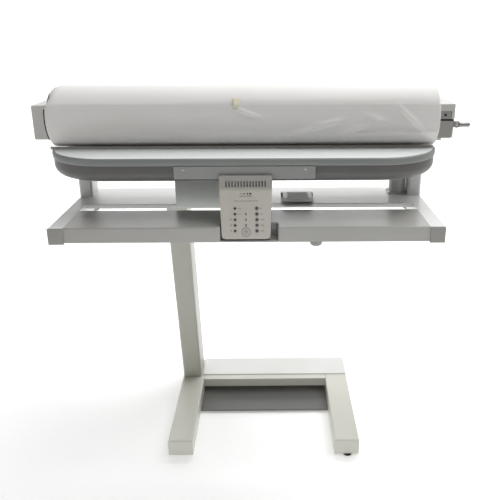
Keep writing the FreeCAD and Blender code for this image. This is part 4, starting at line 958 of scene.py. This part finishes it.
# Above this height the panel is painted darker: painted shade from the board overhead.
painted_shade_top = rise(panel_level, dark_from, dark_to)
panel_age = rise(mottle(fascia_place, 9.0, 3.0), 0.35, 0.8)
panel_grain = mottle(fascia_place, 1700.0, 1.0)
panel_beige = tint(panel_age, (0.65, 0.625, 0.565), (0.60, 0.57, 0.505))
dress(fascia, {
    "IOR": 1.52,
    "Base Color": tint(painted_shade_top, panel_beige, (0.42, 0.405, 0.375)),
    "Roughness": 0.42 + 0.1 * panel_grain,
    "Normal": relief(panel_grain, 0.00018, 0.4),
}, "control_panel")

# Circuit board and lamps: green glass-fibre laminate behind the panel, with smoked lenses that stand in
# the panel's holes over its light-emitting diodes.
plastic("circuit_green", (0.03, 0.14, 0.06), (0.05, 0.19, 0.09), 0.3, "circuit_board")
smoked_lens, lens_place = new_finish("smoked_lens")
haze = mottle(lens_place, 600.0, 2.0)
dress(smoked_lens, {
    "IOR": 1.49, "Coat Weight": 0.5,
    "Base Color": tint(haze, (0.045, 0.040, 0.040), (0.085, 0.072, 0.068)),
    "Roughness": 0.12 + 0.1 * haze,
}, "indicator_lamps")

# Keys: small moulded caps with a rounded rim and a shallow dish, held behind the panel by a flange and
# pressed one by one. The programme keys are dark grey; the power key is larger and the panel's colour.
dark_key = plastic("dark_key", (0.085, 0.085, 0.09), (0.12, 0.12, 0.12), 0.36)
pale_key = plastic("pale_key", (0.62, 0.60, 0.575), (0.58, 0.56, 0.53), 0.34)
fascia_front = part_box("control_panel")[0].y
pod_low, pod_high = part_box("control_pod")
press = Vector(next(joint["axis"] for joint in frame["joints"] if joint["name"] == "power_key_press"))
panel_height = (pod_high.z - pod_low.z) / press.y
lean = Matrix.Rotation(atan2(press.z, press.y), 4, "X")
on_panel = Matrix.Translation((0.0, fascia_front, pod_low.z)) @ lean
programme_radius = 0.003
power_radius = 0.0075
row_pitch = 0.01175
first_row = panel_height - 0.0677
row_heights = [first_row - row * row_pitch for row in range(5)]
power_height = panel_height - 0.1168


def key_cap(node, material, height, radius):
    """A cap on the panel's face, at a height above the panel's lower edge."""
    flange = radius + 0.0012
    flange_front = 0.00305
    depth = 0.00405
    proud = 0.001
    edge = 0.0005
    outline = (
        (0.0003 - proud, 0.0), (0.0002 - proud, radius * 0.45), (-proud, radius * 0.78),
        (0.0001 - proud, radius - edge), (edge * 0.4 - proud, radius - edge * 0.3),
        (edge - proud, radius), (flange_front, radius), (flange_front, flange), (depth, flange),
        (depth, 0.0),
    )
    mesh = bmesh.new()
    turn(mesh, outline, (centre_of(node).x, 0.0, height), rearward, 36)
    bmesh.ops.transform(mesh, matrix=on_panel, verts=mesh.verts)
    make_piece(node + "_cap", mesh, material, [node], body=node)


for row, height in enumerate(row_heights, start=1):
    key_cap(f"programme_key_{row}", dark_key, height, programme_radius)
key_cap("power_key", pale_key, power_height, power_radius)

# Panel marks: screen-printed dark ink on the panel and the power key. They are plain signs: heat dots
# beside the keys, rules beside the lamps, a ring round the power key and a power sign on it.
ink, ink_place = new_finish("ink")
ink_wear = mottle(ink_place, 900.0, 3.0)
dress(ink, {
    "Specular IOR Level": 0.3,
    "Base Color": tint(ink_wear, (0.07, 0.068, 0.07), (0.15, 0.145, 0.14)),
    "Roughness": 0.5 + 0.2 * ink_wear,
})
ink_thick = 0.00012


def ink_bar(mesh, x, height, width, line, face=0.0):
    """A printed bar."""
    block(
        mesh,
        (x - width / 2, face - ink_thick, height - line / 2),
        (x + width / 2, face + ink_thick, height + line / 2),
        ink_thick / 2, 1,
    )


def ink_ring(mesh, x, height, radius, line, face=0.0):
    """A printed ring."""
    outline = (
        (-ink_thick, radius - line), (-ink_thick, radius), (ink_thick, radius),
        (ink_thick, radius - line), (-ink_thick, radius - line),
    )
    turn(mesh, outline, (x, face, height), rearward, 40)


def ink_dot(mesh, x, height, radius):
    """A printed dot."""
    outline = ((-ink_thick, 0.0), (-ink_thick, radius), (ink_thick, radius), (ink_thick, 0.0))
    turn(mesh, outline, (x, 0.0, height), rearward, 16)


lamp_radius = 0.0025
lamp_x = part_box("indicator_lamps")[0].x + lamp_radius
key_x = centre_of("programme_key_1").x
panel_x = (lamp_x + key_x) / 2
key_ring = 0.0043
lamp_ring = 0.0038
heat_dot = 0.0009
thin_line = 0.0004
thick_line = 0.0009
heat_x = key_x + 0.0085
heat_pitch = 0.0028
bar_x = lamp_x - 0.0085
rule_line = 0.0010
rule_height = row_heights[0] + 0.0255
dash_height = rule_height - 0.0100
dash_pitch = 0.0056
dashes = 9
marks = bmesh.new()
for row, height in enumerate(row_heights, start=1):
    ink_ring(marks, key_x, height, key_ring, thin_line)
    for dot in range(min(row, 3)):
        ink_dot(marks, heat_x + heat_pitch * dot, height, heat_dot)
    ink_ring(marks, lamp_x, height, lamp_ring, thin_line)
    if row < 3:
        ink_bar(marks, lamp_x + 0.0095, height, 0.008, 0.0005)
    else:
        ink_bar(marks, bar_x, height, 0.0035, thick_line)
        ink_bar(marks, bar_x, height + 0.002, 0.0020, thick_line)
for dot, dot_x in enumerate((-0.0095, -0.0035, 0.0035, 0.0095)):
    ink_dot(marks, panel_x + dot_x, rule_height + 0.0050, 0.0012 + 0.0004 * dot)
ink_bar(marks, panel_x, rule_height, 0.026, rule_line)
for dash in range(dashes):
    ink_bar(marks, panel_x + (dash - dashes // 2) * dash_pitch, dash_height, 0.0042, rule_line)
ink_ring(marks, panel_x, power_height, 0.0094, 0.0007)
bmesh.ops.transform(marks, matrix=on_panel, verts=marks.verts)
make_piece("panel_marks", marks, ink)

power_marks = bmesh.new()
power_face = -0.0009
ink_ring(power_marks, panel_x, power_height, 0.0032, 0.0006, power_face)
ink_bar(power_marks, panel_x, power_height + 0.0026, 0.0007, 0.0030, power_face)
bmesh.ops.transform(power_marks, matrix=on_panel, verts=power_marks.verts)
make_piece("power_sign", power_marks, ink, body="power_key")

# Lift actuator: a drawn steel can with rolled rims on a bolted flange, standing on the shelf at the right.
# Its rod lifts the shoe carrier.
lift_low, lift_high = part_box("lift_actuator")
lift_rod = centre_of("lift_rod")
lift_foot = (lift_rod.x, lift_rod.y, lift_low.z)
can_radius = 0.020
can_height = lift_high.z - lift_low.z
flange_thick = 0.003
flange_round = 0.0008
gland = 0.0065
lift_mesh = bmesh.new()
can_outline = (
    (flange_thick, 0.0), (flange_thick, can_radius), (0.006, can_radius),
    (0.0068, can_radius - 0.0008), (0.0078, can_radius - 0.0008), (0.0086, can_radius),
    (can_height - 0.010, can_radius), (can_height - 0.0092, can_radius - 0.0010),
    (can_height - 0.0080, can_radius - 0.0010), (can_height - 0.0072, can_radius),
    (can_height - 0.0015, can_radius), (can_height - 0.0004, can_radius - 0.0005),
    (can_height, can_radius - 0.0016), (can_height, gland + 0.005),
    (can_height - 0.002, gland + 0.004), (can_height - 0.002, gland), (can_height - 0.030, gland),
    (can_height - 0.030, 0.0),
)
turn(lift_mesh, can_outline, lift_foot, upward, 48)
block(lift_mesh, lift_low, (lift_high.x, lift_high.y, lift_low.z + flange_thick), flange_round)
bolt_inset = 0.0045
bolt_radius = 0.0031
bolt_seat = flange_thick - 0.0002
bolt_top = 0.0054
bolt_chamfer = 0.0006
bolt_outline = (
    (bolt_seat, 0.0), (bolt_seat, bolt_radius), (bolt_top - bolt_chamfer, bolt_radius),
    (bolt_top, bolt_radius - 0.0005), (bolt_top, 0.0),
)
for bolt_x in (lift_low.x + bolt_inset, lift_high.x - bolt_inset):
    for bolt_y in (lift_low.y + bolt_inset, lift_high.y - bolt_inset):
        turn(lift_mesh, bolt_outline, (bolt_x, bolt_y, lift_low.z), upward, 6)
can_paint = powder_coat("can_paint", (0.64, 0.65, 0.635), (0.50, 0.50, 0.475), 0.30)
make_piece("lift_can", lift_mesh, can_paint, ["lift_actuator"])

# Release lever: a blackened steel rod with a collar and a domed tip, screwed into a hub that turns on a pin
# of the right end housing. It frees the roller by hand when the power fails.
lever_low, lever_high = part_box("release_lever")
hub_radius = (lever_high.z - lever_low.z) / 2
hub_length = lever_high.y - lever_low.y
hub_centre = Vector((lever_low.x + hub_radius, lever_low.y, (lever_low.z + lever_high.z) / 2))
pin_hole = 0.00305
lever_mesh = bmesh.new()
hub_chamfer = 0.0008
hub_outline = (
    (0.0, pin_hole), (0.0, hub_radius - hub_chamfer), (hub_chamfer, hub_radius),
    (hub_length - hub_chamfer, hub_radius), (hub_length, hub_radius - hub_chamfer),
    (hub_length, pin_hole), (0.0, pin_hole),
)
turn(lever_mesh, hub_outline, hub_centre, rearward, 32)
rod_centre = Vector((lever_low.x, lever_low.y + hub_length / 2, hub_centre.z))
rod_extra = 0.006
rod_length = lever_high.x - lever_low.x + rod_extra
rod_radius = 0.0052
neck_radius = 0.0047
collar_radius = 0.0058
collar_start = 2 * hub_radius - 0.0006
rod_outline = (
    (collar_start, 0.0), (collar_start, collar_radius), (collar_start + 0.0032, collar_radius),
    (collar_start + 0.0036, neck_radius), (collar_start + 0.0046, neck_radius),
    (collar_start + 0.0050, rod_radius), (rod_length - 0.0030, rod_radius),
    (rod_length - 0.0012, rod_radius - 0.0008), (rod_length - 0.0003, rod_radius - 0.0022),
    (rod_length, 0.0),
)
turn(lever_mesh, rod_outline, rod_centre, rightward, 28)
dark_steel = metal("dark_steel", (0.36, 0.35, 0.335), (0.26, 0.25, 0.24), 0.42, (40.0, 700.0, 700.0))
make_piece("lever_rod", lever_mesh, dark_steel, ["release_lever"], body="lever")

# Foot switch: a moulded base with two lugs and a ribbed treadle that hinges on a pin between them. It is
# put away on the front edge of the shelf; on the floor it starts and stops the roller.
base_low, base_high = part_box("pedal_base")
base_top = base_low.z + 0.006
base_corner = 0.016
base_round = 0.0025
lug_width = 0.004
lug_depth = 0.014
lug_root = 0.003
lug_round = 0.0017
base_mesh = bmesh.new()
cuboid(base_mesh, base_low, (base_high.x, base_high.y, base_top))
round_edges(base_mesh, upright_edges(base_mesh), base_corner, 8)
round_edges(base_mesh, rim_edges(base_mesh, base_top), base_round, 4)
for lug_x in (base_low.x, base_high.x - lug_width):
    block(
        base_mesh,
        (lug_x, base_high.y - lug_depth, base_top - lug_root),
        (lug_x + lug_width, base_high.y, base_high.z),
        lug_round, 3,
    )
pedal_dark = plastic("pedal_dark", (0.50, 0.53, 0.505), (0.55, 0.575, 0.545), 0.45)
make_piece("pedal_foot", base_mesh, pedal_dark, ["pedal_base"])

treadle_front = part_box("pedal_treadle")[0].y
lug_gap = 0.0003
treadle_left = base_low.x + lug_width + lug_gap
treadle_right = base_high.x - lug_width - lug_gap
treadle_toe = base_top + 0.005
treadle_thick = 0.006
toe_corner = 0.015
treadle_round = 0.0013
pivot_y = base_high.y - 0.007
pivot_z = base_low.z + 0.0095
pin_radius = 0.003
treadle_mesh = bmesh.new()
side_profile = (
    (treadle_front, treadle_toe), (pivot_y, pivot_z - pin_radius), (pivot_y + pin_radius, pivot_z),
    (pivot_y + pin_radius, pivot_z + treadle_thick), (treadle_front, treadle_toe + treadle_thick),
)
side_verts = [treadle_mesh.verts.new((treadle_left, y, z)) for y, z in side_profile]
side_face = treadle_mesh.faces.new(side_verts)
pull(treadle_mesh, [side_face], (treadle_right - treadle_left, 0.0, 0.0))
toe_edges = []
for edge in treadle_mesh.edges:
    first, second = (vert.co for vert in edge.verts)
    if abs(first.x - second.x) < hair and max(first.y, second.y) < treadle_front + hair:
        toe_edges.append(edge)
round_edges(treadle_mesh, toe_edges, toe_corner, 8)
joined = [edge for edge in treadle_mesh.edges if len(edge.link_faces) == 2]
sharp_edges = [edge for edge in joined if edge.calc_face_angle() > sharp_angle]
round_edges(treadle_mesh, sharp_edges, treadle_round, 3)
rib_count = 8
rib_pitch = 0.0066
rib_width = 0.0026
rib_inset = 0.010
rib_root = 0.0012
rib_rise = 0.0008
rib_round = 0.0006
first_rib = treadle_front + 0.012
slope = (pivot_z - treadle_toe) / (pivot_y + pin_radius - treadle_front)
for rib in range(rib_count):
    rib_y = first_rib + rib * rib_pitch
    rib_z = treadle_toe + treadle_thick + slope * (rib_y - treadle_front)
    block(
        treadle_mesh,
        (treadle_left + rib_inset, rib_y, rib_z - rib_root),
        (treadle_right - rib_inset, rib_y + rib_width, rib_z + rib_rise),
        rib_round,
    )
pin_outline = ((base_low.x, 0.0), (base_low.x, pin_radius), (base_high.x, pin_radius), (base_high.x, 0.0))
turn(treadle_mesh, pin_outline, (0.0, pivot_y, pivot_z), rightward, 20)
pedal_pale = plastic("pedal_pale", (0.78, 0.81, 0.79), (0.82, 0.845, 0.82), 0.42)
make_piece("pedal_tread", treadle_mesh, pedal_pale, ["pedal_treadle"], body="treadle")

# Mains inlet: a black moulded appliance inlet, snapped into the back panel. Three flat brass pins stand in
# its mouth.
plastic("inlet_plastic", (0.03, 0.03, 0.03), (0.05, 0.048, 0.045), 0.42, "mains_inlet")
inlet_low, inlet_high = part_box("mains_inlet")
inlet_centre = centre_of("mains_inlet")
pin_half_width = 0.001
pin_half_height = 0.002
pin_recess = 0.0015
pin_round = 0.0004
pin_mesh = bmesh.new()
for aside, above in ((-0.007, -0.002), (0.0, 0.004), (0.007, -0.002)):
    pin_x = inlet_centre.x + aside
    pin_z = inlet_centre.z + above
    block(
        pin_mesh,
        (pin_x - pin_half_width, inlet_low.y, pin_z - pin_half_height),
        (pin_x + pin_half_width, inlet_high.y - pin_recess, pin_z + pin_half_height),
        pin_round,
    )
make_piece("inlet_pins", pin_mesh, bronze)
